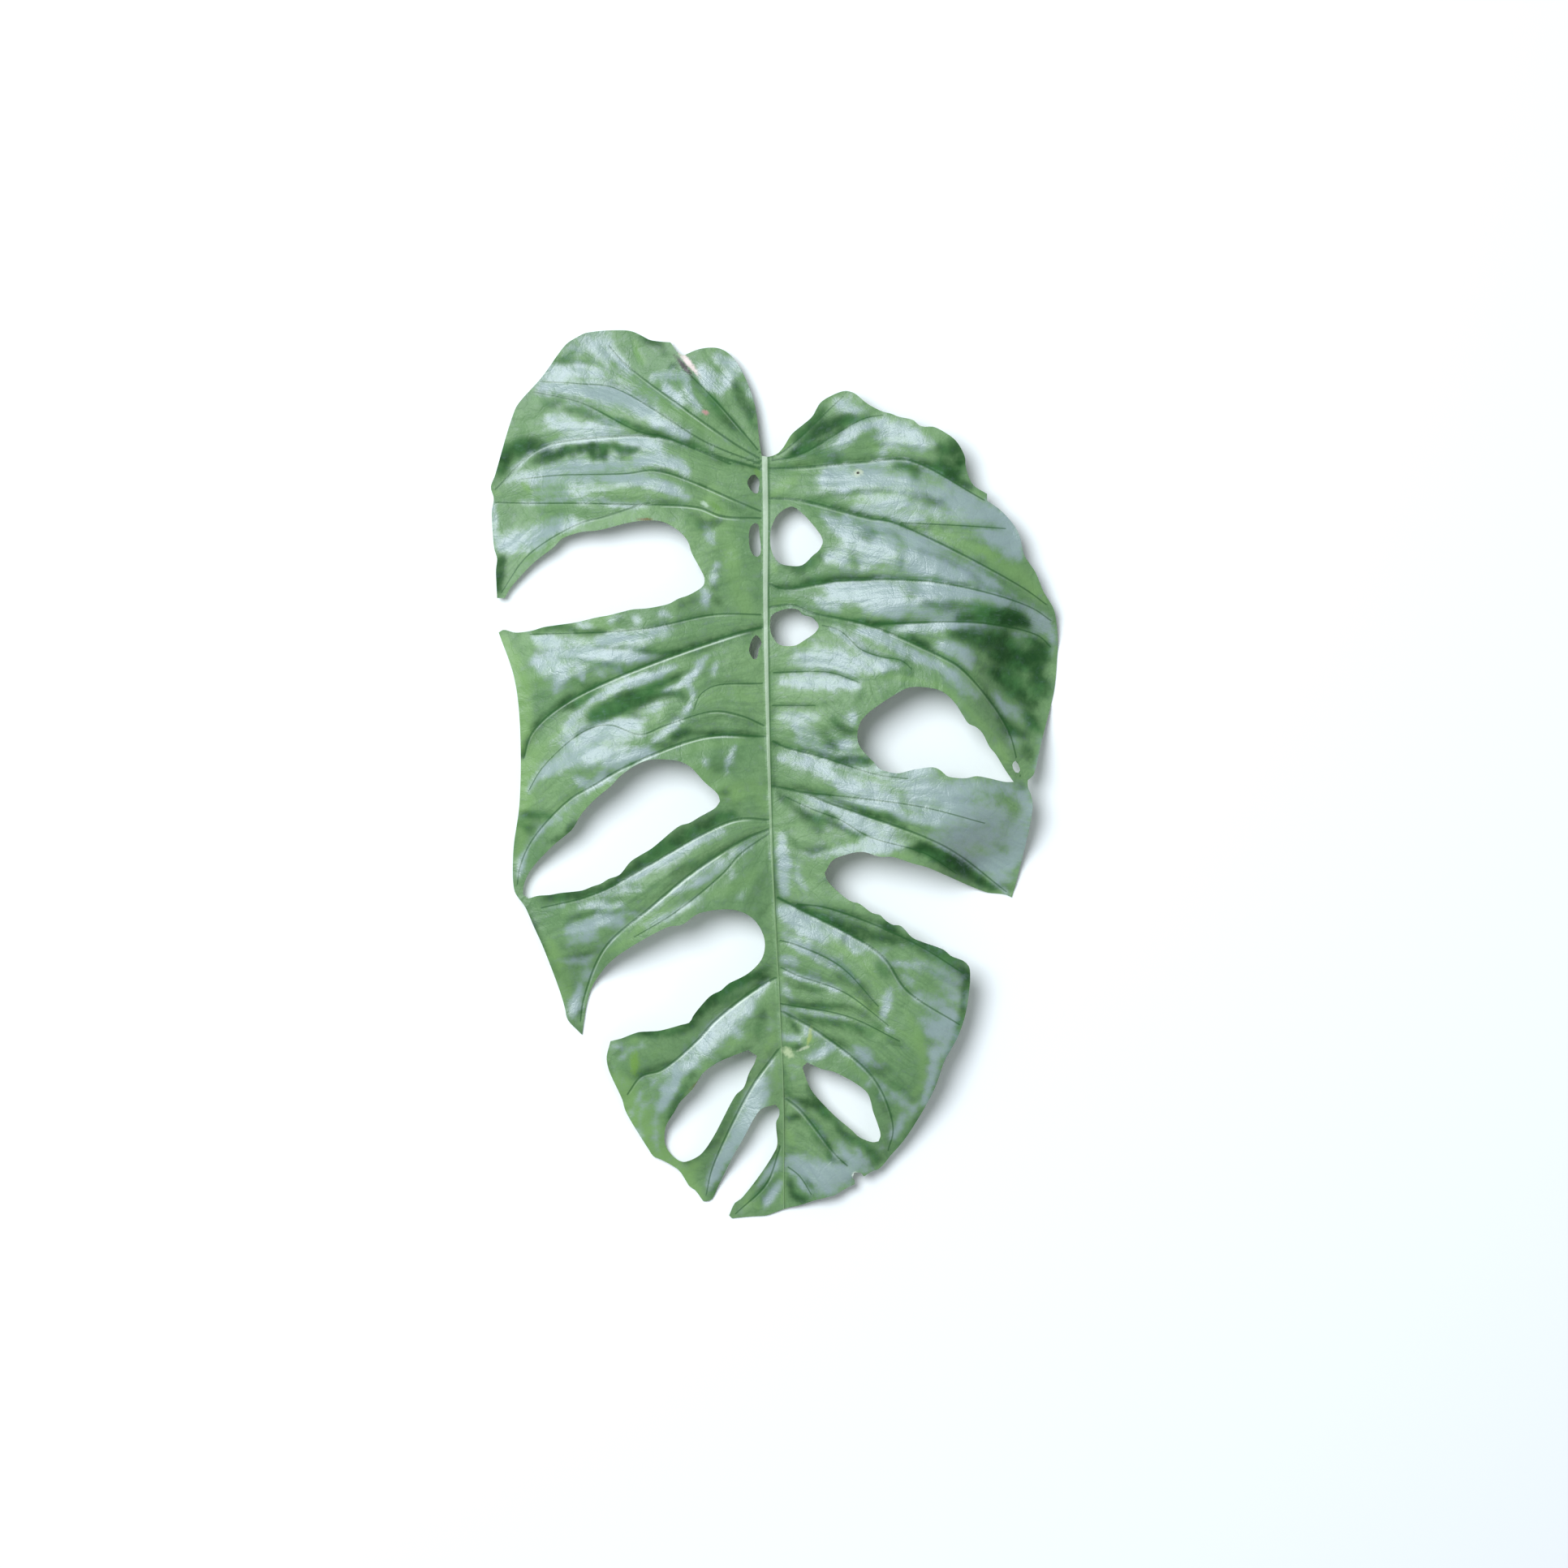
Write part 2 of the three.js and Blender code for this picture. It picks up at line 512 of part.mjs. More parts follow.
// A mesh in plan that keeps every outline edge: each directed edge knows the corner across its triangle.
class PlanMesh {
  constructor(points) {
    this.points = points;
    this.across = new Map();
  }

  key(a, b) {
    return a * edgeKeyBase + b;
  }

  addTriangle(a, b, c) {
    this.across.set(this.key(a, b), c);
    this.across.set(this.key(b, c), a);
    this.across.set(this.key(c, a), b);
  }

  dropTriangle(a, b, c) {
    this.across.delete(this.key(a, b));
    this.across.delete(this.key(b, c));
    this.across.delete(this.key(c, a));
  }

  // Turns the edge a-b in its two triangles where that makes them fuller.
  relax(a, b) {
    const c = this.across.get(this.key(a, b));
    const d = this.across.get(this.key(b, a));
    if (c === undefined || d === undefined) {
      return;
    }
    const [pa, pb, pc, pd] = [a, b, c, d].map((i) => this.points[i]);
    const turned = area(pc, pa, pd) > leastArea && area(pd, pb, pc) > leastArea;
    if (!turned || !inCircle(pa, pb, pc, pd)) {
      return;
    }
    this.dropTriangle(a, b, c);
    this.dropTriangle(b, a, d);
    this.addTriangle(c, a, d);
    this.addTriangle(d, b, c);
    [[a, d], [d, b], [b, c], [c, a]].forEach(([from, to]) => this.relax(from, to));
  }

  // Splits the triangle that holds a new point.
  insert(index) {
    const point = this.points[index];
    const [a, b, c] = this.triangles().find((corners) => corners.every((corner, i) => {
      const next = corners[(i + 1) % 3];
      return area(this.points[corner], this.points[next], point) >= -onEdge;
    }));
    this.dropTriangle(a, b, c);
    [[a, b], [b, c], [c, a]].forEach(([from, to]) => this.addTriangle(from, to, index));
    [[a, b], [b, c], [c, a]].forEach(([from, to]) => this.relax(from, to));
  }

  triangles() {
    const found = [];
    for (const [edge, c] of this.across) {
      const a = Math.floor(edge / edgeKeyBase);
      const b = edge % edgeKeyBase;
      if (a < b && a < c) {
        found.push([a, b, c]);
      }
    }
    return found;
  }
}

// The plan of the blade, meshed alike for both faces.
function meshPlan() {
  const toVectors = (loop) => loop.map(([x, y]) => new THREE.Vector2(x, y));
  const ordered = (loop, anticlockwise) => (
    THREE.ShapeUtils.isClockWise(toVectors(loop)) === anticlockwise ? [...loop].reverse() : loop
  );
  const rimLoops = [ordered(outline, true), ...holeLoops.map((loop) => ordered(loop, false))];
  const mesh = new PlanMesh(rimLoops.flat());
  const [outer, ...inner] = rimLoops.map(toVectors);
  for (const corners of THREE.ShapeUtils.triangulateShape(outer, inner)) {
    mesh.addTriangle(...corners);
  }
  for (const [a, b] of mesh.triangles().flatMap(([a, b, c]) => [[a, b], [b, c], [c, a]])) {
    mesh.relax(a, b);
  }
  for (const point of fieldPoints()) {
    mesh.points.push(point);
    mesh.insert(mesh.points.length - 1);
  }
  return { points: mesh.points, triangles: mesh.triangles(), rimLoops };
}

// The closed solid: top face, bottom face and a wall along every rim.
function buildLeaf() {
  const { points, triangles, rimLoops } = meshPlan();
  const faces = points.map(([x, y]) => leafFaces(x, y));
  const count = points.length;
  const positions = [
    ...points.flatMap(([x, y], i) => [x, y, faces[i].top]),
    ...points.flatMap(([x, y], i) => [x, y, faces[i].bottom]),
  ];
  const index = triangles.flatMap(([a, b, c]) => [a, b, c, a + count, c + count, b + count]);
  let first = 0;
  for (const loop of rimLoops) {
    loop.forEach((_, i) => {
      const a = first + i;
      const b = first + (i + 1) % loop.length;
      index.push(a, a + count, b + count, a, b + count, b);
    });
    first += loop.length;
  }
  const geometry = new THREE.BufferGeometry();
  geometry.setAttribute("position", new THREE.Float32BufferAttribute(positions, 3));
  geometry.setIndex(index);
  geometry.computeVertexNormals();
  return geometry;
}

const waxyGreen = new THREE.MeshStandardMaterial({ color: 0x5f8f55, roughness: 0.38, metalness: 0 });

const leaf = new THREE.Mesh(buildLeaf(), waxyGreen);
leaf.name = "leaf";

const monsteraLeaf = new THREE.Group();
monsteraLeaf.add(leaf);

export default monsteraLeaf;
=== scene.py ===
import math

import bmesh
import bpy
import numpy as np
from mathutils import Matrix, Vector, noise
from mathutils.bvhtree import BVHTree
from mathutils.kdtree import KDTree


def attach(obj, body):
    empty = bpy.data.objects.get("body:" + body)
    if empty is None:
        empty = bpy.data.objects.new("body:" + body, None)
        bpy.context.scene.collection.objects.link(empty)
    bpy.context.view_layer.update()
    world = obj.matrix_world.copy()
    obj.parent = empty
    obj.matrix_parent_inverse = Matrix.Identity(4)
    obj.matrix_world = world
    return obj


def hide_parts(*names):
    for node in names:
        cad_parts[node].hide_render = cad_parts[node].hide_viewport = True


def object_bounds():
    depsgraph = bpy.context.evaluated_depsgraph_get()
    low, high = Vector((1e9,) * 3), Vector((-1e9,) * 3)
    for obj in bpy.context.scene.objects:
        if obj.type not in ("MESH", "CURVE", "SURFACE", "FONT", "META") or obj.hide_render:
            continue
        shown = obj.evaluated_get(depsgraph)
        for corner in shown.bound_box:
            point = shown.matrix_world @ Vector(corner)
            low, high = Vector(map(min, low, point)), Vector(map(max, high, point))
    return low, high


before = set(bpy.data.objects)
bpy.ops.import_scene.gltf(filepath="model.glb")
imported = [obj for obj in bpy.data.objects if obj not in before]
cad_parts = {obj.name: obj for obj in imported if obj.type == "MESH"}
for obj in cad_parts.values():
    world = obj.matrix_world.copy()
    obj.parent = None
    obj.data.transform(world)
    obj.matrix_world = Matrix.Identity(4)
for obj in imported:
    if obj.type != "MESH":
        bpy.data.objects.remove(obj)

mm = 0.001
farAway = 1.0                   # metres, past any point of the leaf
tiny = 1e-9                     # the least gap between two points of a curve
cadLow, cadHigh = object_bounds()
print("frame loaded, leaf box", [round(v, 4) for v in (*cadLow, *cadHigh)])

# Fine blade: what a user would change
blade = {
    "gridStep": 1.34 * mm,
    "gridSpare": 0.2 * mm,      # rows past the leaf's ends
    "columnPulls": (1, 0.5, 0.22, 0.08),    # how far the columns beside the midrib follow its cord
    "straightFrom": 45 * mm,    # past it the columns are straight
    "cordColumns": 2,           # on each side, and these stay in place
    "bodyThickness": 0.85 * mm,
    "rimThickness": 0.5 * mm,
    "rimBand": 5 * mm,
    "cornerTurn": 48,           # degrees, sharper turns of the margin stay corners
    "smoothRounds": 26,         # evens out the flat facets of the frame's leaf
    "evenRounds": 4,            # evens out the grid beside the veins
    "outlineStep": 0.35 * mm,
    "veinStep": 0.6,            # millimetres
    "veinWindow": 30 * mm,
    "snapReach": 1.2,           # grid steps
    "crossingReach": 1.3,       # grid steps
    "smallLoop": 15,            # openings with fewer points have no corners
    "wallTilt": 0.3,            # faces whose normals rise less than this are walls
    "weldGap": 0.01 * mm,
    "cordShareLimit": 6,        # cord half widths
    "mapScale": 100,            # the map of the streaks, in units a metre away from the midrib
    "rightShift": 70,           # keeps the right half's streaks apart from the left's
}

# Midrib: half width of the pale cord by y, and its keel below
midrib = {
    "path": [(-5, 164), (-4.5, 132), (-4.5, 81.5), (-1.5, -36), (2.5, -116), (4.6, -166.5), (4.8, -225)],
    "pathStep": 2,
    "halfWidths": [(-231, 0.3), (-130, 0.36), (-65, 0.46), (0, 0.8), (90, 1.2), (164, 1.5)],
    "cordHeight": 0.55 * mm,
    "keelDepth": 4.2 * mm,
    "keelSpread": 1.25,         # cord half widths
    "keelThinning": 0.8,
    "stalkFlare": 2.4 * mm,
    "stalkFlareLength": 14 * mm,
    "stalkY": 164.5 * mm,
    "tipY": -231 * mm,
}

# Side veins from the midrib outwards, top to bottom on each half: strength and points in millimetres
leftVeins = {
    "sinusVein": (0.5, [(-7, 166.5), (-27.5, 190.5), (-46, 209.5)]),
    "crownVein": (0.8, [(-6.5, 163), (-22.5, 172.5), (-78, 214), (-86, 223)]),
    "upperVein": (0.6, [(-6.5, 160.5), (-35.5, 172), (-83.5, 201), (-100.5, 203), (-122, 204.5)]),
    "foldVein": (0.6, [(-22.5, 160.5), (-56.5, 174.5), (-71, 178), (-100.5, 193), (-125.5, 199)]),
    "firstLobeVein": (1, [(-6.5, 158), (-35.5, 166.5), (-60, 174.5), (-100, 174), (-123, 169),
                          (-145.5, 148)]),
    "firstLobeLowVein": (0.6, [(-6.5, 136), (-60.5, 157), (-77.5, 155.5), (-115, 155), (-132, 153.5)]),
    "firstSlotVein": (0.7, [(-6.5, 132.5), (-27, 133.5), (-39.5, 138), (-75.5, 139.5), (-145.5, 141.5)]),
    "slotEdgeVein": (0.5, [(-64.5, 140.5), (-89, 133), (-100.5, 130), (-127.5, 114), (-142, 94)]),
    "slotLowerVein": (0.5, [(-6.5, 82.5), (-31, 82.5), (-64.5, 75.5), (-85.5, 73.5), (-127, 72.5)]),
    "secondLobeVein": (1, [(-6, 76), (-20.5, 72.5), (-104.5, 39), (-125.5, 21.5), (-130, 8)]),
    "archVein": (0.4, [(-5.5, 47), (-31, 45.5), (-38.5, 40.5), (-41.5, 33)]),
    "secondLobeLowVein": (0.5, [(-5, 25), (-16.5, 30), (-31, 32.5), (-56.5, 25), (-69, 20.5), (-85.5, 25.5),
                                (-98.5, 22), (-119.5, 4), (-127.5, -9)]),
    "longHoleVein": (0.8, [(-4.5, 19.5), (-35.5, 19.5), (-79.5, 2.5), (-92, -5), (-106.5, -13.5),
                           (-125.5, -34), (-132, -48), (-133.5, -58)]),
    "thirdLobeTopVein": (0.8, [(-2.5, -23.5), (-20.5, -23.5), (-92, -61.5), (-121.5, -69.5)]),
    "thirdLobeVein": (1, [(-2, -28), (-14.5, -33), (-39.5, -48.5), (-64.5, -69), (-88, -90), (-99, -116),
                          (-101, -129)]),
    "thirdLobeLowVein": (0.5, [(-2.5, -30.5), (-17.5, -41), (-27, -51.5), (-50, -70.5), (-73, -84.5)]),
    "fourthLobeVein": (1, [(1, -105), (-10, -111), (-31, -127.5), (-39.5, -137), (-58.5, -153), (-69, -156.5),
                           (-76.5, -166.5)]),
    "narrowLobeVein": (0.8, [(3, -141), (-12, -162), (-32, -204), (-35.5, -219)]),
    "dripTipVein": (0.6, [(4, -189.5), (-4, -212.5), (-20.5, -229)]),
}
rightVeins = {
    "sinusVein": (0.5, [(-2, 164), (4.5, 167), (36, 196)]),
    "crownVein": (0.5, [(-1.5, 162.5), (13, 165.5), (46.5, 184), (57, 186)]),
    "shoulderVein": (1, [(-2.5, 158.5), (13, 159), (50, 162), (69.5, 162.5), (109, 141.5)]),
    "upperVein": (1, [(-2.5, 143), (13, 142), (48.5, 132.5), (61.5, 130), (128.5, 96.5), (141, 88)]),
    "upperBranch": (0.35, [(63.5, 130), (82.5, 129), (120, 127)]),
    "middleVein": (0.8, [(-2.5, 98.5), (4.5, 96), (36, 100), (82.5, 99), (132.5, 86.5), (144, 79.5)]),
    "eyeletVein": (1, [(-2.5, 86.5), (9, 87.5), (19.5, 83.5), (48.5, 77), (86.5, 60.5), (97, 54), (120, 25),
                       (127, -1)]),
    "eyeletBranch": (0.7, [(51, 77.5), (107.5, 78), (137, 72), (144, 66)]),
    "shortBranch": (0.4, [(24.5, 77), (34, 74), (44.5, 64.5), (55, 60.5), (65.5, 58.5), (72, 53)]),
    "shortVein": (0.4, [(-1, 52.5), (28.5, 52.5), (44.5, 47)]),
    "secondShortVein": (0.3, [(-1, 35.5), (21.5, 35.5)]),
    "holeVein": (0.6, [(-1.5, 17.5), (4.5, 14.5), (27.5, 8), (52, 0), (69.5, -2.5)]),
    "thirdBranch": (0.5, [(13, -9), (74, -16.5), (109.5, -25.5)]),
    "thirdVein": (1, [(-1.5, -6), (13, -9), (27.5, -14.5), (88.5, -37.5), (122, -62)]),
    "thirdLowBranch": (0.4, [(4.5, -11), (19.5, -18), (34, -23.5), (48.5, -32), (78, -41), (95, -52)]),
    "fourthBranch": (0.5, [(11, -67), (27.5, -69), (69.5, -85.5), (99, -103.5)]),
    "fourthVein": (1, [(1.5, -63.5), (55, -93), (68.5, -111.5), (96, -129.5)]),
    "lowVein": (0.5, [(1.5, -85.5), (11, -88), (34, -99), (54, -120)]),
    "secondLowVein": (0.5, [(2, -99), (11, -103.5), (36, -112.5), (59, -129.5)]),
    "thirdLowVein": (0.5, [(2.5, -118.5), (38, -125), (65.5, -138)]),
    "lowerVein": (0.9, [(3, -122), (23.5, -133.5), (52, -158), (61.5, -183), (59, -195)]),
    "lastVein": (0.8, [(4.6, -167), (13, -173.5), (32, -197.5), (39, -204)]),
    "tipVein": (0.4, [(5, -202.5), (13, -208.5), (19.5, -218.5)]),
}


def smoothCurve(points, step, closed=False):
    # a centripetal Catmull-Rom curve through the points, in steps of about that length
    p = np.array(points, float)
    if closed:
        p = np.vstack([p[-1:], p, p[:2]])
    else:
        p = np.vstack([2 * p[0] - p[1], p, 2 * p[-1] - p[-2]])
    made = []
    for a, b, c, d in zip(p, p[1:], p[2:], p[3:]):
        t1 = max(np.linalg.norm(b - a), tiny) ** 0.5
        t2 = max(np.linalg.norm(c - b), tiny) ** 0.5
        t3 = max(np.linalg.norm(d - c), tiny) ** 0.5
        m1 = c - b + t2 * ((b - a) / t1 - (c - a) / (t1 + t2))
        m2 = c - b + t2 * ((d - c) / t3 - (d - b) / (t2 + t3))
        count = max(1, round(float(np.linalg.norm(c - b)) / step))
        t = (np.arange(count) / count)[:, None]
        made.append((2 * t**3 - 3 * t**2 + 1) * b + (t**3 - 2 * t**2 + t) * m1
                    + (3 * t**2 - 2 * t**3) * c + (t**3 - t**2) * m2)
    return np.vstack(made if closed else [*made, p[-2:-1]])


def smoothStep(share):
    share = np.clip(share, 0, 1)
    return share * share * (3 - 2 * share)


def frameShell():
    shell = bmesh.new()
    shell.from_mesh(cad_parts["leaf"].data)
    bmesh.ops.remove_doubles(shell, verts=shell.verts[:], dist=blade["weldGap"])
    shell.normal_update()
    shell.verts.ensure_lookup_table()
    return shell


def rimLoops(shell):
    # the upper edges of the thin walls, chained into the margin and one loop per opening
    beside = {}
    for edge in shell.edges:
        tilts = sorted(f.normal.z for f in edge.link_faces)
        if abs(tilts[0]) < blade["wallTilt"] < tilts[-1]:
            for v in edge.verts:
                beside.setdefault(v.index, []).append(edge.other_vert(v).index)
    loops = []
    while beside:
        here = next(iter(beside))
        loop = []
        while here in beside:
            loop.append(shell.verts[here].co[:])
            here = next((n for n in beside.pop(here) if n in beside), None)
        loops.append(np.array(loop))
    return loops


def roundedLoop(loop):
    # evenly smooth, but the sharp turns of a long loop stay sharp
    p = loop[:, :2]
    back = p - np.roll(p, 1, 0)
    ahead = np.roll(back, -1, 0)
    turn = np.abs(np.arctan2(back[:, 0] * ahead[:, 1] - back[:, 1] * ahead[:, 0], (back * ahead).sum(1)))
    corners = np.flatnonzero(turn > math.radians(blade["cornerTurn"]))
    if len(corners) == 0 or len(p) < blade["smallLoop"]:
        return smoothCurve(p, blade["outlineStep"], closed=True), p[:0]
    p = np.roll(p, -corners[0], 0)
    ends = [*(corners - corners[0]), len(p)]
    p = np.vstack([p, p[:1]])
    parts = [smoothCurve(p[a:b + 1], blade["outlineStep"])[:-1] for a, b in zip(ends, ends[1:])]
    return np.vstack(parts), p[ends[:-1]]


shell = frameShell()
loops = rimLoops(shell)
rounded = [roundedLoop(loop) for loop in loops]
outlines = [np.clip(line, np.array(cadLow[:2]), np.array(cadHigh[:2])) for line, _ in rounded]
corners = np.vstack([c for _, c in rounded])
outlinePoints = np.vstack(outlines)
print("outlines", len(outlines), "with", len(outlinePoints), "points and", len(corners), "corners")


def midribX(y):
    path = smoothCurve(midrib["path"], midrib["pathStep"]) * mm
    return np.interp(y, path[::-1, 1], path[::-1, 0])


def cordHalfWidth(y):
    table = np.array(midrib["halfWidths"]) * mm
    return np.interp(y, table[:, 0], table[:, 1])


def isOnBlade(x, y):
    # rows of points that share one height each: crossings of the outlines to the left of every point
    inside = np.zeros(x.shape, bool)
    starts = np.vstack(outlines)
    ends = np.vstack([np.roll(line, -1, 0) for line in outlines])
    for row, height in enumerate(y):
        cut = (starts[:, 1] > height) != (ends[:, 1] > height)
        a, b = starts[cut], ends[cut]
        crossings = np.sort(a[:, 0] + (height - a[:, 1]) / (b[:, 1] - a[:, 1]) * (b[:, 0] - a[:, 0]))
        inside[row] = np.searchsorted(crossings, x[row]) % 2 == 1
    return inside


def warpedGrid():
    # a flat grid with one column down the midrib and the next ones on the edges of its cord
    step = blade["gridStep"]
    half = math.ceil(cadHigh[0] / step)
    rows = math.ceil((cadHigh[1] - cadLow[1]) / step)
    net = bmesh.new()
    bmesh.ops.create_grid(net, x_segments=2 * half, y_segments=rows, size=1)
    column = np.tile(np.arange(-half, half + 1), (rows + 1, 1))
    y = np.linspace(cadLow[1] - blade["gridSpare"], cadHigh[1] + blade["gridSpare"], rows + 1)
    away = np.abs(column)
    pull = np.select([away == n for n in range(1, len(blade["columnPulls"]) + 1)], blade["columnPulls"], 0)
    fade = smoothStep(1 - away * step / blade["straightFrom"])
    x = column * step + np.sign(column) * pull * (cordHalfWidth(y)[:, None] - step)
    x += midribX(y)[:, None] * fade
    inside = isOnBlade(x, y)
    columns = net.verts.layers.int.new("column")
    for v, px, py, c in zip(net.verts, x.ravel(), np.repeat(y, 2 * half + 1), column.ravel()):
        v.co = px, py, 0
        v[columns] = int(c)
    return net, inside.ravel()


def edgePairs(net):
    net.verts.index_update()
    return np.array([(e.verts[0].index, e.verts[1].index) for e in net.edges])


def placesOf(net):
    return np.array([v.co[:] for v in net.verts])


def coverCrossings(pairs, distance, taken):
    # one end of every crossing edge moves onto the line: the nearer one, unless the other has moved already
    order = np.argsort(np.minimum(distance[pairs[:, 0]], distance[pairs[:, 1]]))
    chosen = set()
    for a, b in pairs[order]:
        if not (taken[a] or taken[b] or a in chosen or b in chosen):
            chosen.add(a if distance[a] <= distance[b] else b)
    return np.array(sorted(chosen), int)


def splitQuads(net, isWanted):
    # a quad is split between two opposite corners where the test on these and the other two says so
    for face in list(net.faces):
        if len(face.verts) == 4:
            numbers = [v.index for v in face.verts]
            for a in (0, 1):
                if isWanted(numbers[a], numbers[a + 2], numbers[a - 1], numbers[(a + 1) % 4]):
                    bmesh.utils.face_split(face, face.verts[a], face.verts[a + 2])
                    break


def trimToOutline(net, inside):
    # the grid's nearest points move onto the outline, and what lies beyond it goes
    pairs = edgePairs(net)
    places = placesOf(net)
    crossing = pairs[inside[pairs[:, 0]] != inside[pairs[:, 1]]]
    tree = KDTree(len(outlinePoints))
    for i, (x, y) in enumerate(outlinePoints):
        tree.insert((x, y, 0), i)
    tree.balance()
    distance = np.full(len(places), farAway)
    nearest = {}
    for i in np.unique(crossing):
        spot, _, distance[i] = tree.find(places[i])
        nearest[i] = spot
    onLine = np.full(len(places), -1)
    chosen = coverCrossings(crossing, distance, np.zeros(len(places), bool))
    onLine[chosen] = 1
    net.verts.ensure_lookup_table()
    for i in chosen:
        net.verts[i].co = nearest[i]
    moved = KDTree(len(chosen))
    for i in chosen:
        moved.insert(net.verts[i].co, int(i))
    moved.balance()
    for x, y in corners:
        _, i, gap = moved.find((x, y, 0))
        if gap < blade["gridStep"]:
            net.verts[i].co = x, y, 0
    beyond = ~inside & (onLine < 0)
    splitQuads(net, lambda a, b, c, d: onLine[a] > 0 and onLine[b] > 0 and beyond[c] != beyond[d])
    gone = []
    for face in net.faces:
        if any(beyond[v.index] for v in face.verts):
            gone.append(face)
        elif all(onLine[v.index] > 0 for v in face.verts):
            centre = face.calc_center_median()
            if not isOnBlade(np.array([[centre.x]]), np.array([centre.y]))[0, 0]:
                gone.append(face)
    bmesh.ops.delete(net, geom=gone, context="FACES")
    loose = [v for v in net.verts if not v.link_faces]
    bmesh.ops.delete(net, geom=loose, context="VERTS")


def nearVein(places, line):
    # distance to the line, share of the way along it and side, for the points round it
    low, high = line.min(0) - blade["veinWindow"], line.max(0) + blade["veinWindow"]
    close = np.flatnonzero(((places[:, :2] > low) & (places[:, :2] < high)).all(1))
    gaps = places[close, None, :2] - line[None]
    squares = (gaps ** 2).sum(2)
    best = squares.argmin(1)
    way = np.gradient(line, axis=0)[best]
    gap = gaps[np.arange(len(close)), best]
    way /= np.linalg.norm(way, axis=1)[:, None]
    side = way[:, 0] * gap[:, 1] - way[:, 1] * gap[:, 0]
    along = (way * gap).sum(1)
    past = ((best == 0) & (along < 0)) | ((best == len(line) - 1) & (along > 0))
    distance = np.where(past, np.sqrt(squares[np.arange(len(close)), best]), np.abs(side))
    return close, distance, best / (len(line) - 1), np.sign(side), past


veins = []
for half, group in (("left", leftVeins), ("right", rightVeins)):
    for rank, (strength, points) in enumerate(group.values()):
        line = smoothCurve(points, blade["veinStep"]) * mm
        veins.append({"half": half, "rank": rank, "strength": strength, "line": line})


def snapToVeins(net):
    # vertices beside each vein move onto it, so that its crease is sharp
    pairs = edgePairs(net)
    places = placesOf(net)
    columns = net.verts.layers.int["column"]
    fixed = np.array([v.is_boundary or abs(v[columns]) < blade["cordColumns"] for v in net.verts])
    onVein = np.full(len(places), -1)
    net.verts.ensure_lookup_table()
    for number, vein in enumerate(veins):
        close, distance, _, side, past = nearVein(places, vein["line"])
        far = np.full(len(places), farAway)
        sides = np.zeros(len(places))
        good = ~past & (distance < blade["snapReach"] * blade["gridStep"])
        far[close[good]] = distance[good]
        sides[close[good]] = side[good]
        a, b = pairs[:, 0], pairs[:, 1]
        narrow = far[a] + far[b] < blade["crossingReach"] * blade["gridStep"]
        crossing = pairs[(sides[a] * sides[b] < 0) & narrow]
        for i in coverCrossings(crossing, far, fixed | (onVein >= 0)):
            gap = vein["line"] - places[i, :2]
            spot = vein["line"][(gap ** 2).sum(1).argmin()]
            net.verts[i].co = spot[0], spot[1], 0
            onVein[i] = number
    splitQuads(net, lambda a, b, c, d: 0 <= onVein[a] == onVein[b] and onVein[a] not in onVein[[c, d]])
    return onVein, fixed


def relaxed(values, pairs, free, rounds, share=0.5):
    # evens the values out between neighbours, where they are free to move
    count = len(values)
    degree = np.bincount(pairs.ravel(), minlength=count)
    flat = values.reshape(count, -1).copy()
    for _ in range(rounds):
        for axis in range(flat.shape[1]):
            total = (np.bincount(pairs[:, 0], flat[pairs[:, 1], axis], count)
                     + np.bincount(pairs[:, 1], flat[pairs[:, 0], axis], count))
            mean = total / degree
            flat[free, axis] += share * (mean[free] - flat[free, axis])
    return flat.reshape(values.shape)


net, inside = warpedGrid()
print("grid", len(net.verts), "points,", int(inside.sum()), "of them on the blade")
trimToOutline(net, inside)
print("trimmed to", len(net.faces), "faces")
onVein, fixed = snapToVeins(net)
pairs = edgePairs(net)
places = placesOf(net)
columns = net.verts.layers.int["column"]
column = np.array([v[columns] for v in net.verts])
free = ~fixed & (onVein < 0) & (np.abs(column) > blade["cordColumns"])
places[:, :2] = relaxed(places[:, :2], pairs, free, blade["evenRounds"])
print("veins drawn into", len(net.faces), "faces,", int((onVein >= 0).sum()), "points on them")

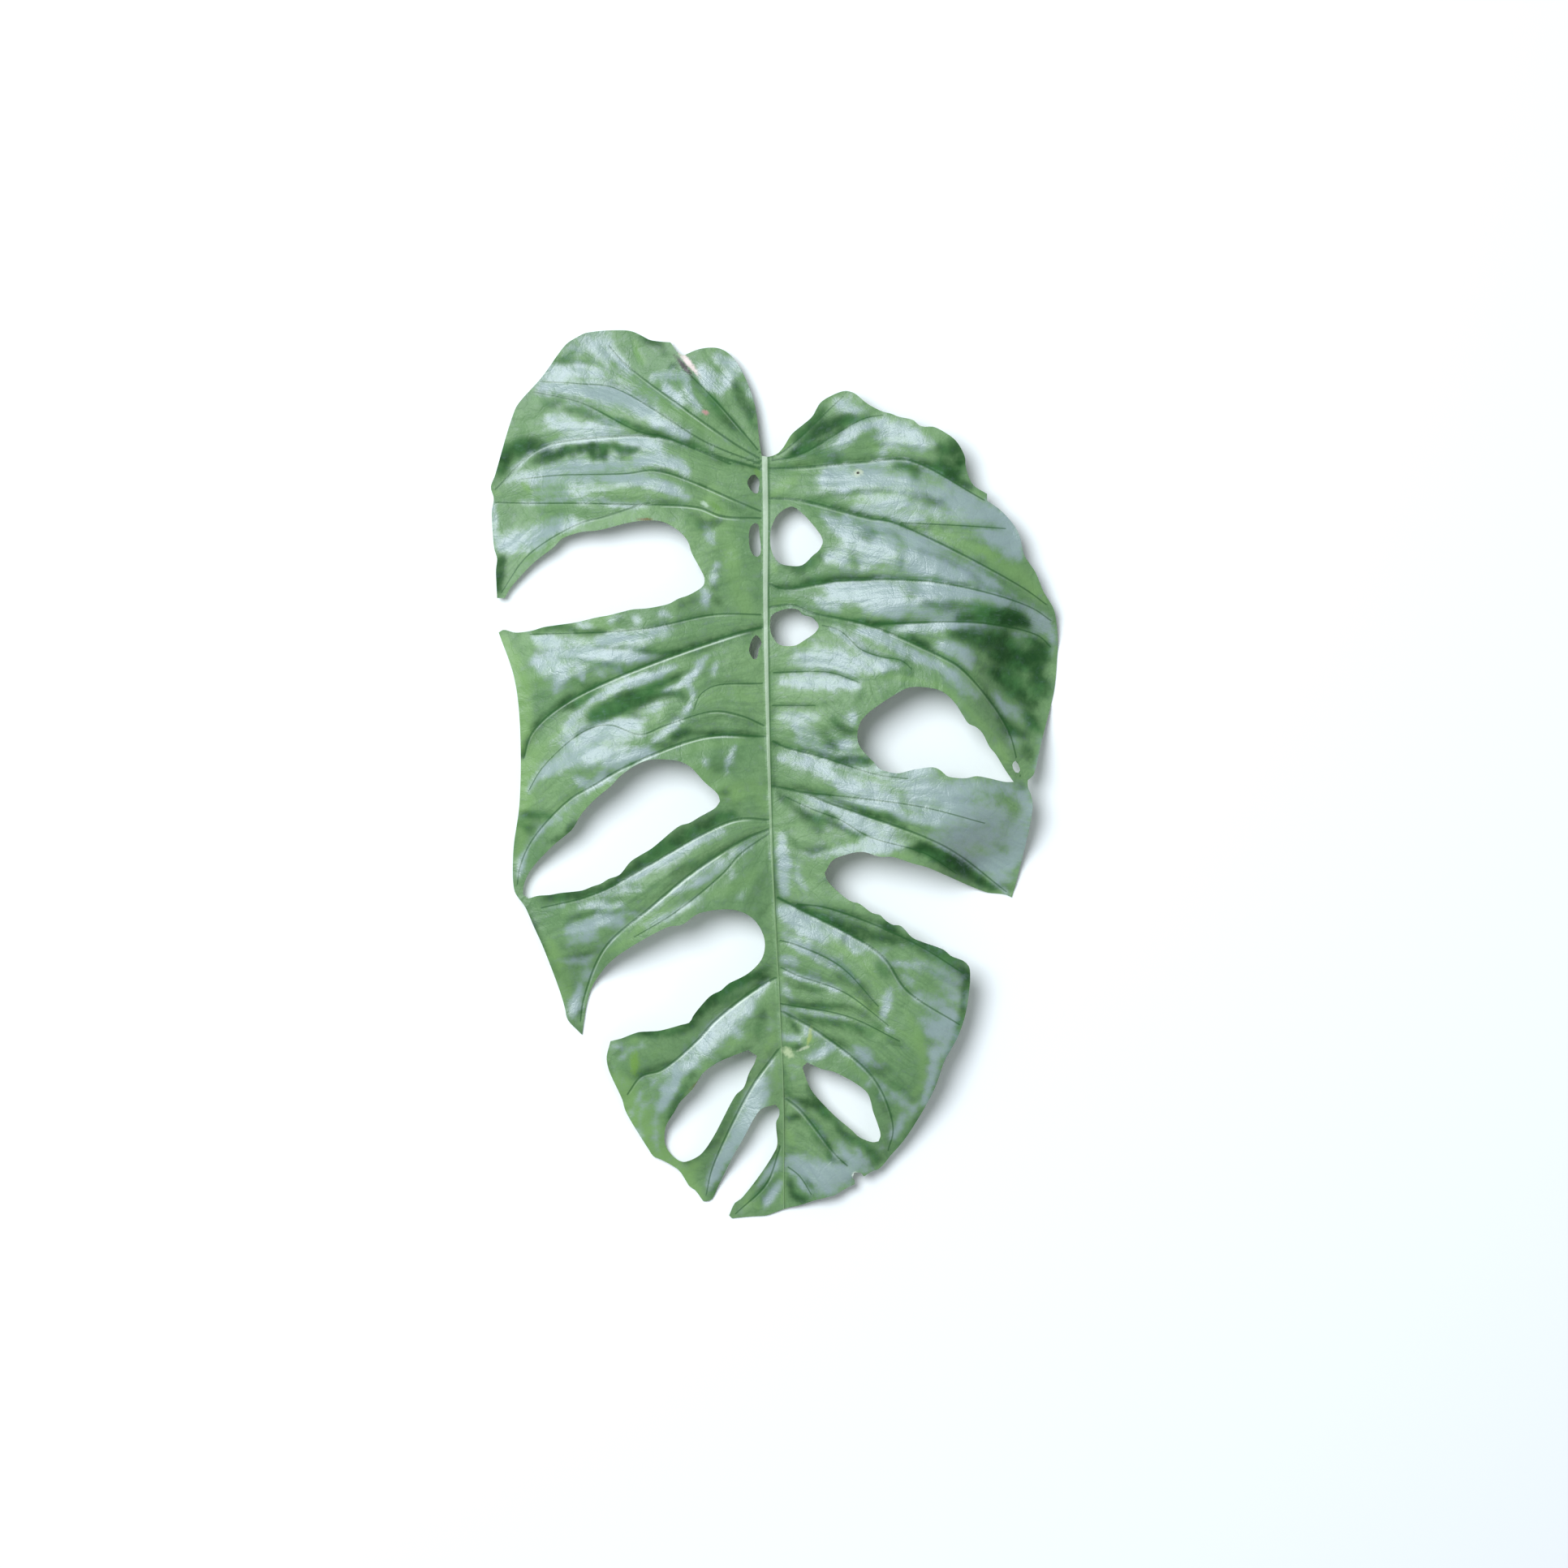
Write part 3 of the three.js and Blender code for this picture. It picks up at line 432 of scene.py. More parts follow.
# Relief of the upper face: what a user would change
relief = {
    "veinDepth": 1.2 * mm,
    "veinReach": 2.6 * mm,
    "veinThinning": 0.7,
    # lineWidth and lineGrowth set the width of the painted crease shade line
    "lineWidth": 0.25 * mm,         # of the dark line on the faintest vein
    "lineGrowth": 0.45 * mm,
    "lineLimit": 20.0,              # line widths
    "sideRibDepth": 1.1 * mm,
    "sideRibWidth": 1.4 * mm,
    "ribRim": 4 * mm,
    "grooveDepth": 0.5 * mm,
    "grooveReach": 3 * mm,
    "pleatHeight": 0.12 * mm,
    "pleatsBetweenVeins": 4,
    "pleatFade": 2,                 # beside the veins
    "pleatWander": 0.35,
    "pleatGrain": 30 * mm,
    "calmReach": 12 * mm,           # the folds fade toward the midrib
    "crumpleHeight": 0.4 * mm,
    "crumpleSize": 12 * mm,
    "quiltHeight": 0.13 * mm,
    "quiltSize": 5 * mm,
    "toneWander": 1.3 * mm,
    "toneGrain": 8 * mm,
    "sheenRounds": 2,
    "shadeRounds": 3,
    "unevenGrain": 28 * mm,
    "unevenShare": 0.6,
    "unevenLeast": 0.1,
    "startFade": 6,                 # hollow, lip and light fade in along the first part of a vein
    "startLeast": 0.2,
    # the hollow above each vein takes painted shade and the lip under it a painted highlight
    "hollowReach": 1.7 * mm,
    "lipGap": 0.9 * mm,
    "lipReach": 1 * mm,
    "lightReach": 4 * mm,
    "hollowOnVein": 0.5,
    "lipOnVein": 0.6,
    "lightOnVein": 0.7,
    "hollowSheen": 0.6,
    "hollowShade": 0.45,
    "lipSheen": 0.6,
    "mostTone": 1.2,
    "shadeOverSheen": 0.85,
    "sheenSlope": 0.28,
    "rightShare": 0.6,
    "shadeSlope": 0.32,
    "lightWay": (0.7, -0.7),
    "tiltHold": 0.012,
    "tiltRounds": 420,
    "spreadSlant": 0.4,
    "spreadRounds": 420,
    "spreadStep": 0.9,
    "belowBox": 0.05 * mm,
}
octaveFade, octaveStep = 1.0, 2.0     # how each octave of a noise weakens, and how much finer it is
seeds = {"pleat": 3, "crumple": 7, "wanderX": 11, "wanderY": 17, "uneven": 23, "quilt": 29}

# How a stroke is laid: what a user would change
brush = {
    "step": 0.8,                # millimetres
    "endWidth": 0.45,
    "endShape": 0.6,
    "endShare": 0.03,
    "leastReach": 0.3 * mm,
    "edge": 2.8,
    "fullTone": 1.1,
    "build": 1.6,
}

# Tones of the upper face, in nine sheets. Each has its upper left corner in millimetres and the
# millimetres in one of its units. A stroke is a strength, its reach to the left and to the right in
# millimetres, then x and y of its points in units, rightwards and down. The pale strokes are painted
# reflection, a blue grey sheen, and their faces also tilt toward the upper left; the deep strokes are
# painted shade, and their faces tilt away. Young is a fresh yellow green, in places the leaf's own
# colour and in places painted light that lifts lobes facing away from the key lamp.
strokes = {
    "wholeLeaf": {
        "corner": (-147.5, 231),
        "unit": 1,
        "bloom": [
            (0.5, 10, 10, 176, 79, 210, 84, 250, 96, 272, 112), (0.5, 11, 11, 188, 108, 218, 118, 262, 142),
            (0.55, 9, 9, 178, 134, 214, 139, 252, 155), (0.34, 10, 10, 160, 172, 186, 178),
            (0.34, 10, 10, 164, 214, 210, 234, 262, 252), (0.24, 9, 9, 166, 246, 196, 256),
            (0.26, 9, 9, 154, 300, 186, 312), (0.28, 8, 8, 206, 300, 240, 330, 236, 366),
            (0.26, 9, 9, 40, 26, 84, 40), (0.26, 8, 8, 30, 66, 76, 64),
            (0.5, 11, 11, 222, 244, 268, 262), (0.45, 10, 10, 236, 262, 266, 282),
            (0.8, 7, 8, 158, 432, 172, 439, 190, 432), (0.7, 3.4, 3.4, 142, 390, 130, 415, 117, 440),
            (0.5, 5, 5, 136, 350, 98, 384, 89, 402), (0.5, 8, 8, 28, 168, 78, 168),
            (0.35, 9, 9, 40, 214, 76, 206), (0.3, 6, 6, 70, 358, 104, 330),
        ],
        "paintedShade": [
            (0.22, 9, 11, 256, 150, 276, 160, 286, 176), (0.2, 9, 9, 252, 168, 276, 184, 280, 204),
        ],
        "young": [
            (0.7, 5, 6, 6, 160, 15, 182, 19, 212, 18, 252, 15, 277), (0.6, 9, 9, 66, 392, 84, 424, 100, 442),
            (0.5, 8, 8, 30, 320, 38, 346), (0.5, 6, 6, 92, 436, 106, 448), (0.5, 6, 6, 128, 448, 140, 432),
            (0.45, 8, 8, 116, 84, 126, 120), (0.45, 8, 8, 104, 226, 128, 244),
            (0.6, 12, 12, 58, 384, 78, 412, 102, 434), (0.5, 8, 8, 20, 186, 60, 150, 30, 126),
        ],
    },
    "leftCrown": {
        "corner": (-148.7, 236.9),
        "unit": 0.0964,
        "bloom": [
            (0.7, 2.6, 2.6, 560, 120, 640, 240), (0.8, 2.2, 2.2, 640, 120, 760, 290),
            (0.35, 5, 5, 430, 190, 520, 140, 640, 95), (0.5, 4, 4, 330, 290, 450, 270, 600, 290),
            (0.9, 3.8, 3.4, 300, 385, 720, 430, 960, 590, 1060, 640), (1, 2.2, 2.2, 950, 370, 1050, 470),
            (1, 1.3, 1.3, 1060, 360, 1110, 460, 1150, 505), (0.8, 4.5, 4.5, 1150, 280, 1200, 370),
            (0.6, 4, 4, 1240, 220, 1320, 270, 1250, 400), (0.45, 1.5, 1.5, 1380, 360, 1430, 440),
            (0.7, 4.2, 4.2, 320, 540, 430, 580, 560, 600, 680, 600),
            (0.7, 0.9, 0.9, 430, 450, 560, 505, 760, 620),
            (0.8, 0.9, 1.4, 120, 810, 240, 715, 350, 672, 700, 637, 860, 650),
            (1, 2.2, 2.2, 720, 655, 920, 705), (0.55, 3.4, 3.4, 120, 860, 460, 810, 760, 805),
            (1, 3.2, 3.2, 800, 800, 900, 765, 1000, 790, 1070, 825),
            (0.9, 2.8, 2.8, 640, 870, 780, 875, 900, 900, 1080, 970),
            (0.6, 0.8, 0.8, 230, 945, 420, 945, 760, 912),
            (0.65, 1, 1, 170, 985, 600, 990, 760, 1015, 920, 990), (0.3, 4, 4, 250, 890, 600, 880),
            (0.6, 5, 5, 60, 1190, 200, 1180, 450, 1100), (0.5, 1, 1, 200, 1270, 420, 1130, 520, 1105),
            (0.7, 2, 2, 1190, 1130, 1215, 1220), (0.5, 1.5, 1.5, 30, 1000, 40, 1180),
            (0.35, 4, 4, 230, 350, 400, 330), (0.4, 3, 3, 880, 330, 980, 300, 1080, 330),
        ],
        "paintedShade": [
            (0.9, 1.4, 2.2, 301, 737, 414, 711, 549, 685, 667, 685, 802, 708),
            (0.8, 1.1, 1.1, 430, 700, 470, 775), (0.8, 1.1, 1.1, 540, 690, 570, 780),
            (0.8, 1.1, 1.1, 620, 690, 640, 770), (0.8, 1.1, 1.1, 700, 690, 730, 765),
            (0.8, 1.8, 1.8, 820, 105, 950, 150), (0.8, 1.2, 1.2, 930, 195, 985, 190),
            (0.8, 1.2, 1.2, 960, 265, 1020, 250), (0.9, 4.5, 4.5, 65, 820, 110, 730, 200, 685, 310, 700),
            (0.7, 3, 3, 230, 775, 400, 735), (0.8, 1.8, 1.8, 405, 690, 400, 740),
            (0.9, 1.8, 1.8, 495, 690, 505, 745), (0.9, 1.8, 1.8, 550, 680, 580, 745, 620, 745, 630, 690),
            (0.9, 2, 2, 690, 690, 705, 730), (0.9, 2, 2, 755, 690, 765, 725, 815, 700),
            (0.6, 2.6, 2.6, 420, 490, 520, 505, 620, 565),
            (0.75, 3.2, 0.8, 1430, 800, 1300, 775, 1100, 682, 960, 645, 760, 565, 640, 560),
            (0.8, 0.8, 0.8, 260, 385, 430, 420, 560, 470, 640, 530, 760, 560),
            (0.7, 0.8, 0.8, 640, 350, 720, 370, 880, 475), (0.8, 0.8, 1.2, 1100, 320, 1260, 500, 1450, 720),
            (0.5, 0.8, 4, 1200, 430, 1330, 600), (0.6, 2.5, 2.5, 1330, 350, 1440, 600),
            (0.7, 0.9, 0.9, 350, 232, 580, 235), (0.5, 2.5, 2.5, 400, 210, 470, 170),
            (0.6, 2, 2, 280, 450, 350, 455, 400, 440),
            (0.7, 1.2, 1.2, 790, 812, 900, 822, 1000, 850, 1100, 900, 1180, 920),
            (0.5, 3.5, 3.5, 1090, 1090, 1180, 1120, 1240, 1100), (0.8, 2, 2, 50, 1290, 90, 1300),
            (0.6, 0.9, 0.9, 1240, 980, 1440, 1075), (0.35, 2, 2, 860, 990, 1100, 1025),
        ],
        "young": [
            (1, 1.4, 1.4, 790, 120, 845, 245), (1, 1.2, 1.2, 1160, 980, 1190, 995),
            (1, 1, 1, 1210, 1062, 1240, 1068), (1, 1.2, 1.2, 185, 890, 230, 930),
            (0.7, 2, 2, 20, 930, 70, 940),
            (0.4, 3, 3, 620, 290, 900, 430, 1380, 750), (0.4, 3.5, 3.5, 200, 1290, 450, 1170, 850, 1055),
            (0.3, 3, 3, 300, 950, 760, 945, 1000, 985),
        ],
    },
    "rightCrown": {
        "corner": (-5.9, 199.1),
        "unit": 0.0964,
        "bloom": [
            (0.8, 3, 3, 390, 60, 500, 120), (0.9, 1.6, 1.6, 480, 120, 530, 115),
            (0.7, 3.4, 3.4, 360, 340, 440, 260, 540, 190, 650, 170), (0.5, 5, 5, 640, 250, 880, 300),
            (0.5, 3.4, 3.4, 640, 190, 760, 215, 850, 250), (0.9, 1.6, 1.6, 620, 340, 665, 330),
            (0.5, 1.5, 1.5, 170, 300, 240, 290), (0.5, 4, 4, 320, 480, 400, 450, 450, 520),
            (0.8, 4, 4, 470, 500, 580, 480, 680, 490), (0.6, 3, 3, 750, 480, 820, 500),
            (0.8, 1, 1.6, 520, 400, 660, 385, 820, 400, 930, 450, 1130, 600),
            (0.5, 4, 4, 900, 560, 1000, 600, 1100, 600),
            (0.5, 4, 4, 1090, 660, 1200, 660, 1300, 700, 1350, 800),
            (0.6, 4, 4, 1180, 770, 1280, 820, 1370, 900), (0.6, 2, 2, 470, 640, 760, 620),
            (0.5, 3, 3, 560, 660, 700, 690, 850, 700), (0.6, 2.4, 2.4, 800, 770, 980, 850),
            (0.9, 2.8, 2.8, 440, 690, 740, 790, 850, 870, 960, 920), (1, 1.4, 1.4, 800, 800, 900, 880),
            (0.6, 3.4, 3.4, 330, 680, 430, 760, 560, 820, 680, 850),
            (0.55, 5, 5, 360, 900, 500, 920, 640, 900),
            (0.8, 4.5, 4.5, 780, 900, 850, 950, 1080, 1000), (0.7, 4, 4, 1000, 930, 1250, 1060),
            (0.8, 5, 5, 400, 1090, 550, 1080, 700, 1090), (0.8, 5, 5, 560, 1170, 700, 1170, 700, 1230),
            (0.5, 4, 4, 300, 1140, 400, 1180), (0.55, 4, 4, 830, 1060, 1100, 1110),
            (0.7, 2.4, 2.4, 1230, 1110, 1350, 1150, 1540, 1250), (0.6, 1.4, 1.4, 360, 1290, 460, 1300),
            (0.8, 1.6, 1.6, 500, 1300, 620, 1300), (0.5, 3, 3, 700, 1290, 1000, 1270),
            (0.5, 2, 2, 1150, 1290, 1280, 1285),
        ],
        "paintedShade": [
            (0.9, 3, 3, 180, 270, 260, 200, 330, 110),
            (0.9, 3.2, 1.4, 170, 340, 260, 270, 380, 200, 500, 150),
            (0.8, 1, 1, 110, 370, 240, 330, 570, 140), (0.7, 3, 3, 280, 220, 440, 150),
            (0.7, 0.9, 0.9, 40, 430, 440, 375, 700, 372), (0.5, 3, 3, 150, 330, 400, 340),
            (1, 3.5, 1, 1110, 520, 900, 410, 720, 375), (1, 4, 4, 950, 400, 1020, 440, 1060, 400),
            (0.8, 5, 5, 960, 330, 1040, 330, 1060, 380), (0.8, 2, 2, 700, 415, 780, 420, 840, 450),
            (0.6, 2, 2, 800, 470, 840, 490), (0.5, 2, 2, 880, 570, 930, 600, 980, 590),
            (0.7, 0.9, 0.9, 290, 580, 600, 548, 760, 550), (0.4, 3, 3, 760, 560, 1000, 640),
            (1, 1.4, 1.4, 220, 605, 740, 725), (0.8, 1, 1, 740, 725, 1150, 950, 1300, 1040),
            (0.6, 1, 1, 740, 732, 1290, 752), (0.7, 1.4, 1.4, 490, 715, 600, 765, 700, 780, 760, 840),
            (0.5, 3, 3, 500, 790, 600, 800),
            (0.6, 1.4, 1.4, 770, 860, 900, 890, 1060, 960, 1200, 1060, 1400, 1170),
            (0.8, 1, 1, 50, 1062, 180, 1060, 450, 1022, 780, 1020, 960, 1035, 1150, 1075),
            (0.5, 4, 1, 600, 1000, 300, 1010, 180, 1040), (0.5, 2, 2, 740, 900, 740, 980),
            (0.4, 3, 3, 480, 880, 500, 960), (0.5, 3.5, 3.5, 100, 930, 200, 960, 300, 900),
            (0.9, 1.2, 1.2, 180, 1185, 300, 1225, 600, 1255, 760, 1255),
            (0.9, 3, 3, 1180, 1180, 1300, 1200, 1420, 1240), (0.9, 4, 4, 1050, 1230, 1200, 1230, 1350, 1250),
            (0.6, 3, 3, 860, 1150, 1000, 1170, 1150, 1160), (0.4, 3, 3, 760, 1090, 800, 1120),
        ],
        "young": [
            (0.8, 3.4, 3.4, 60, 560, 180, 470), (0.6, 3, 3, 160, 180, 120, 300, 60, 370),
            (0.5, 3, 3, 60, 1150, 160, 1130), (0.7, 5, 5, 1180, 860, 1420, 1040, 1500, 1130),
            (0.5, 4, 4, 900, 760, 1200, 880), (0.4, 3, 3, 560, 120, 640, 170, 800, 190),
            (1, 1.4, 1.4, 50, 930, 70, 990), (0.7, 1.4, 1.4, 1130, 550, 1190, 590),
            (0.6, 1.6, 1.6, 560, 290, 610, 320, 590, 360), (0.5, 3, 3, 460, 590, 620, 570, 800, 590),
            (0.4, 3, 3, 100, 410, 250, 390),
        ],
    },
    "leftUpper": {
        "corner": (-148.7, 123.5),
        "unit": 0.0964,
        "bloom": [
            (0.6, 3, 3, 60, 60, 140, 50), (0.5, 1, 1, 190, 90, 300, 30), (0.5, 2, 2, 1240, 150, 1210, 260),
            (0.9, 2.4, 2.4, 1165, 300, 1180, 370), (0.9, 1.7, 1.7, 490, 485, 570, 490),
            (0.5, 1.4, 1.4, 640, 455, 720, 445), (0.7, 1.3, 1.3, 800, 445, 830, 475),
            (0.8, 1.5, 1.5, 925, 415, 1000, 425), (0.9, 2.4, 2.4, 260, 550, 380, 575),
            (1, 2.2, 2.2, 600, 570, 690, 545, 790, 565), (0.5, 3, 3, 800, 545, 1000, 515),
            (1, 2.6, 2.6, 350, 635, 720, 650), (0.7, 4, 4, 250, 670, 320, 720, 400, 740, 370, 820),
            (0.7, 2, 2, 500, 720, 520, 765), (0.8, 1.1, 1.1, 615, 735, 640, 770),
            (0.8, 1.2, 1.2, 690, 720, 760, 745), (0.6, 2.2, 2.2, 720, 660, 950, 650),
            (0.95, 2.2, 2.2, 600, 880, 680, 825, 920, 745, 1010, 705), (1, 1.3, 1.3, 540, 910, 600, 870),
            (0.95, 1.5, 1.5, 950, 835, 1090, 765, 1175, 650), (0.9, 1, 1, 1080, 800, 1110, 850, 1100, 900),
            (1, 1.3, 1.3, 1105, 890, 1060, 960, 900, 1110), (0.5, 2, 2, 860, 940, 960, 900),
            (0.75, 4.4, 4.4, 460, 1100, 560, 1050, 800, 1015),
            (0.75, 4.4, 4.4, 300, 1280, 420, 1210, 560, 1180, 700, 1190, 850, 1160),
            (1, 1.8, 1.8, 700, 1250, 900, 1165), (0.7, 1.5, 1.5, 510, 925, 420, 1060),
            (0.9, 1.2, 1.2, 1335, 1130, 1305, 1190, 1290, 1270), (0.5, 2, 2, 1170, 1210),
            (0.5, 1.3, 1.3, 1232, 680, 1220, 740),
        ],
        "paintedShade": [
            (0.9, 2.4, 2.4, 70, 130, 60, 290), (0.7, 1, 1, 1225, 190, 1260, 185),
            (0.6, 1.4, 1.4, 1210, 280, 1240, 290), (0.7, 1.1, 1.1, 1200, 330, 1270, 372),
            (0.7, 1.8, 1.8, 260, 510, 400, 490, 480, 505), (0.9, 1.4, 1.4, 480, 515, 560, 530, 640, 520),
            (0.4, 2, 2, 700, 440, 750, 500), (0.4, 2.4, 2.4, 1040, 380, 1130, 350),
            (0.5, 0.9, 0.9, 850, 500, 1000, 480, 1130, 440, 1210, 430),
            (0.6, 0.7, 0.7, 230, 600, 310, 625, 400, 605, 520, 600),
            (0.7, 1.1, 1.1, 570, 600, 750, 602, 900, 635, 990, 640),
            (0.7, 2.6, 0.8, 850, 625, 1000, 635, 1250, 570, 1470, 490),
            (0.8, 0.6, 0.6, 420, 870, 1000, 655, 1170, 610, 1470, 500),
            (0.8, 0.9, 0.9, 370, 650, 640, 690, 780, 740), (0.5, 1, 1, 565, 700, 545, 770),
            (0.6, 1, 1, 460, 785, 540, 800), (0.75, 3, 1.2, 200, 1180, 260, 1050, 370, 950, 600, 820),
            (0.9, 1.5, 1.5, 400, 900, 460, 920, 600, 830), (0.95, 3, 3, 560, 965, 720, 885, 920, 810),
            (0.9, 1.3, 1.3, 920, 800, 1040, 750),
            (0.9, 2, 2, 560, 985, 700, 950, 900, 870, 1000, 850, 1080, 870),
            (1, 0.6, 0.6, 450, 1090, 680, 960, 900, 830, 1100, 720), (0.6, 2, 2, 770, 960, 830, 985),
            (0.35, 2.5, 2.5, 1110, 1000, 1250, 970, 1450, 1005),
            (0.8, 1.8, 0.8, 1000, 1095, 1130, 1070, 1470, 1075), (0.6, 2.6, 2.6, 990, 1080, 1080, 1050),
            (0.7, 1.1, 1.1, 890, 1130, 1000, 1130), (0.4, 0.8, 0.8, 1180, 800, 1300, 790, 1440, 800),
            (0.6, 0.7, 0.7, 980, 970, 1060, 975), (1, 0.7, 0.7, 640, 1300, 900, 1192),
            (0.4, 3, 3, 1210, 1240, 1300, 1250),
        ],
        "young": [
            (0.9, 3.4, 3.4, 90, 560, 150, 680, 190, 850, 200, 1000, 180, 1150),
            (0.6, 3, 3, 220, 1280, 300, 1150, 450, 1020), (0.5, 6, 6, 1300, 100, 1350, 300, 1400, 420),
            (0.4, 4, 4, 1150, 880, 1300, 850, 1450, 880), (0.7, 1.6, 1.6, 890, 1010, 960, 930),
            (0.4, 3, 3, 1000, 1180, 1150, 1130, 1400, 1100),
        ],
    },
    "rightUpper": {
        "corner": (-5.9, 85.7),
        "unit": 0.1018,
        "bloom": [
            (0.8, 2.6, 2.6, 480, 115, 600, 150, 700, 210, 900, 300, 1000, 345),
            (0.8, 2, 2, 390, 120, 640, 285, 700, 290), (0.55, 5, 5, 200, 250, 350, 260, 620, 300),
            (0.6, 3.2, 3.2, 100, 370, 400, 390), (0.9, 2.2, 2.2, 400, 390, 470, 390),
            (0.45, 5, 5, 100, 560, 250, 560), (0.8, 1.2, 1.2, 155, 580, 190, 640),
            (0.8, 2.2, 2.2, 435, 540, 460, 585), (0.7, 2.2, 2.2, 430, 675, 395, 700),
            (0.8, 3.2, 3.2, 880, 190, 1060, 240), (0.7, 2.2, 2.2, 1000, 260, 1050, 300),
            (0.5, 3, 3, 920, 325, 1080, 450), (0.45, 3, 3, 1170, 430, 1260, 525, 1330, 565),
            (0.7, 1.3, 1.3, 1450, 60, 1480, 150, 1470, 230), (0.5, 2, 2, 1270, 650, 1290, 690),
            (0.7, 0.8, 0.8, 1395, 640, 1418, 700, 1380, 820),
            (0.8, 3.2, 3.2, 300, 810, 360, 865, 560, 950, 680, 985),
            (0.5, 3.2, 3.2, 80, 750, 200, 780, 300, 830), (0.8, 1.7, 1.7, 740, 840, 860, 825),
            (0.5, 4, 4, 760, 900, 900, 920, 1040, 900, 1340, 925),
            (0.8, 2.4, 2.4, 920, 960, 1000, 1010, 1050, 1060),
            (0.65, 4, 4, 1310, 950, 1340, 1040, 1300, 1150, 1280, 1290),
            (0.9, 1.8, 1.8, 400, 980, 520, 990, 640, 1020, 740, 1065, 880, 1090),
            (0.95, 1.5, 1.5, 240, 960, 500, 1125, 620, 1185, 740, 1200),
            (0.7, 2.2, 2.2, 430, 1065, 700, 1160),
            (0.8, 2.4, 2.4, 500, 1180, 640, 1235), (0.8, 0.8, 0.8, 800, 1140, 1000, 1240, 1090, 1300),
            (0.3, 4, 4, 1000, 1150, 1150, 1150), (0.6, 3, 3, 1100, 1290, 1250, 1290),
            (0.85, 2.4, 2.4, 90, 1150, 100, 1220, 130, 1300), (0.4, 2, 2, 200, 1240, 420, 1235),
            (0.5, 1.2, 1.2, 880, 100, 970, 85, 1120, 88), (0.6, 1.2, 1.2, 1240, 110, 1400, 150),
            (0.6, 2.6, 2.6, 1360, 60, 1440, 120),
        ],
        "paintedShade": [
            (0.8, 1.2, 1.2, 300, 40, 560, 78, 840, 72),
            (0.8, 0.8, 0.8, 620, 120, 1020, 312, 1120, 415, 1210, 550, 1250, 640),
            (0.95, 4.5, 4.5, 960, 130, 1250, 170), (0.7, 2.4, 2.4, 740, 140, 830, 190),
            (1, 3, 3, 1100, 45, 1250, 45, 1350, 80), (1, 5, 5, 1180, 240, 1330, 260, 1440, 240),
            (0.9, 3, 3, 1360, 155, 1460, 190), (0.9, 4.5, 4.5, 1400, 320, 1440, 430),
            (0.8, 5, 5, 1180, 330, 1380, 480), (0.9, 2.4, 2.4, 1200, 560, 1260, 620, 1340, 645),
            (0.8, 3, 3, 1350, 540, 1400, 610), (0.6, 3, 3, 1330, 700, 1360, 760),
            (1, 0.9, 0.9, 1225, 100, 1240, 150, 1290, 210, 1400, 260),
            (0.5, 0.8, 0.8, 1100, 320, 1250, 330, 1380, 390),
            (0.8, 0.9, 0.9, 400, 100, 500, 200, 600, 250, 720, 280), (0.8, 0.9, 0.9, 742, 230, 755, 350),
            (0.6, 0.7, 0.7, 60, 325, 250, 325, 380, 340, 480, 370),
            (0.6, 0.7, 0.7, 60, 493, 280, 493, 400, 470), (0.5, 0.8, 0.8, 500, 370, 600, 345, 740, 330),
            (0.9, 1.8, 1.8, 360, 560, 400, 610, 470, 632), (0.7, 2, 2, 350, 680, 370, 720),
            (0.9, 1.8, 1.8, 380, 772, 460, 762, 530, 775), (0.8, 1.8, 1.8, 490, 750, 540, 790),
            (0.4, 3, 3, 310, 600, 330, 700), (0.4, 2.4, 2.4, 500, 420, 480, 470),
            (0.7, 0.9, 0.9, 60, 680, 360, 770, 500, 840, 620, 880),
            (0.9, 1, 1, 50, 860, 60, 908, 200, 915, 400, 975),
            (0.9, 2, 1.6, 390, 975, 500, 1030, 620, 1060, 710, 1110),
            (0.75, 2.2, 2.2, 80, 950, 160, 1010, 400, 1110, 480, 1155),
            (1, 0.7, 0.7, 300, 1020, 470, 1135, 560, 1175), (0.7, 1.5, 1.5, 100, 1120, 200, 1220, 330, 1220),
            (0.4, 3, 3, 200, 1060, 300, 1130), (1, 3.2, 3.2, 790, 1205, 870, 1235, 950, 1285, 1040, 1305),
            (0.8, 2, 2, 740, 1212, 850, 1250), (0.8, 0.7, 0.7, 640, 1150, 760, 1162, 880, 1203, 1060, 1305),
            (0.35, 0.7, 0.7, 740, 1120, 1000, 1125, 1180, 1115), (0.5, 0.7, 0.7, 950, 960, 1080, 990),
            (0.3, 0.8, 0.8, 700, 960, 900, 1010), (0.7, 1.1, 1.1, 38, 300, 55, 890),
            (0.6, 1.4, 1.4, 1290, 900, 1340, 915),
        ],
        "young": [
            (0.5, 4, 4, 120, 180, 250, 210, 300, 250),
            (0.6, 1.8, 1.8, 560, 340, 900, 400, 1100, 580, 1220, 690), (0.4, 2, 2, 80, 400, 120, 450),
            (0.6, 2, 2, 520, 850, 690, 910), (0.6, 2.6, 2.6, 780, 965, 1000, 1050),
            (0.6, 3, 3, 1040, 1210, 1150, 1240), (1, 1.5, 1.5, 1190, 700, 1240, 780),
            (0.6, 2, 2, 640, 1245, 760, 1262), (0.3, 3, 3, 100, 850),
        ],
    },
    "leftMiddle": {
        "corner": (-148.7, 10.1),
        "unit": 0.0964,
        "bloom": [
            (0.8, 2.2, 2.2, 480, 130, 560, 160, 640, 100), (0.5, 1.3, 1.3, 330, 70, 240, 150, 220, 190),
            (0.6, 0.9, 0.9, 700, 100, 500, 230, 350, 350, 220, 500, 180, 570),
            (0.7, 1.6, 1.6, 200, 540, 160, 650), (0.7, 1.4, 1.4, 390, 330, 410, 360),
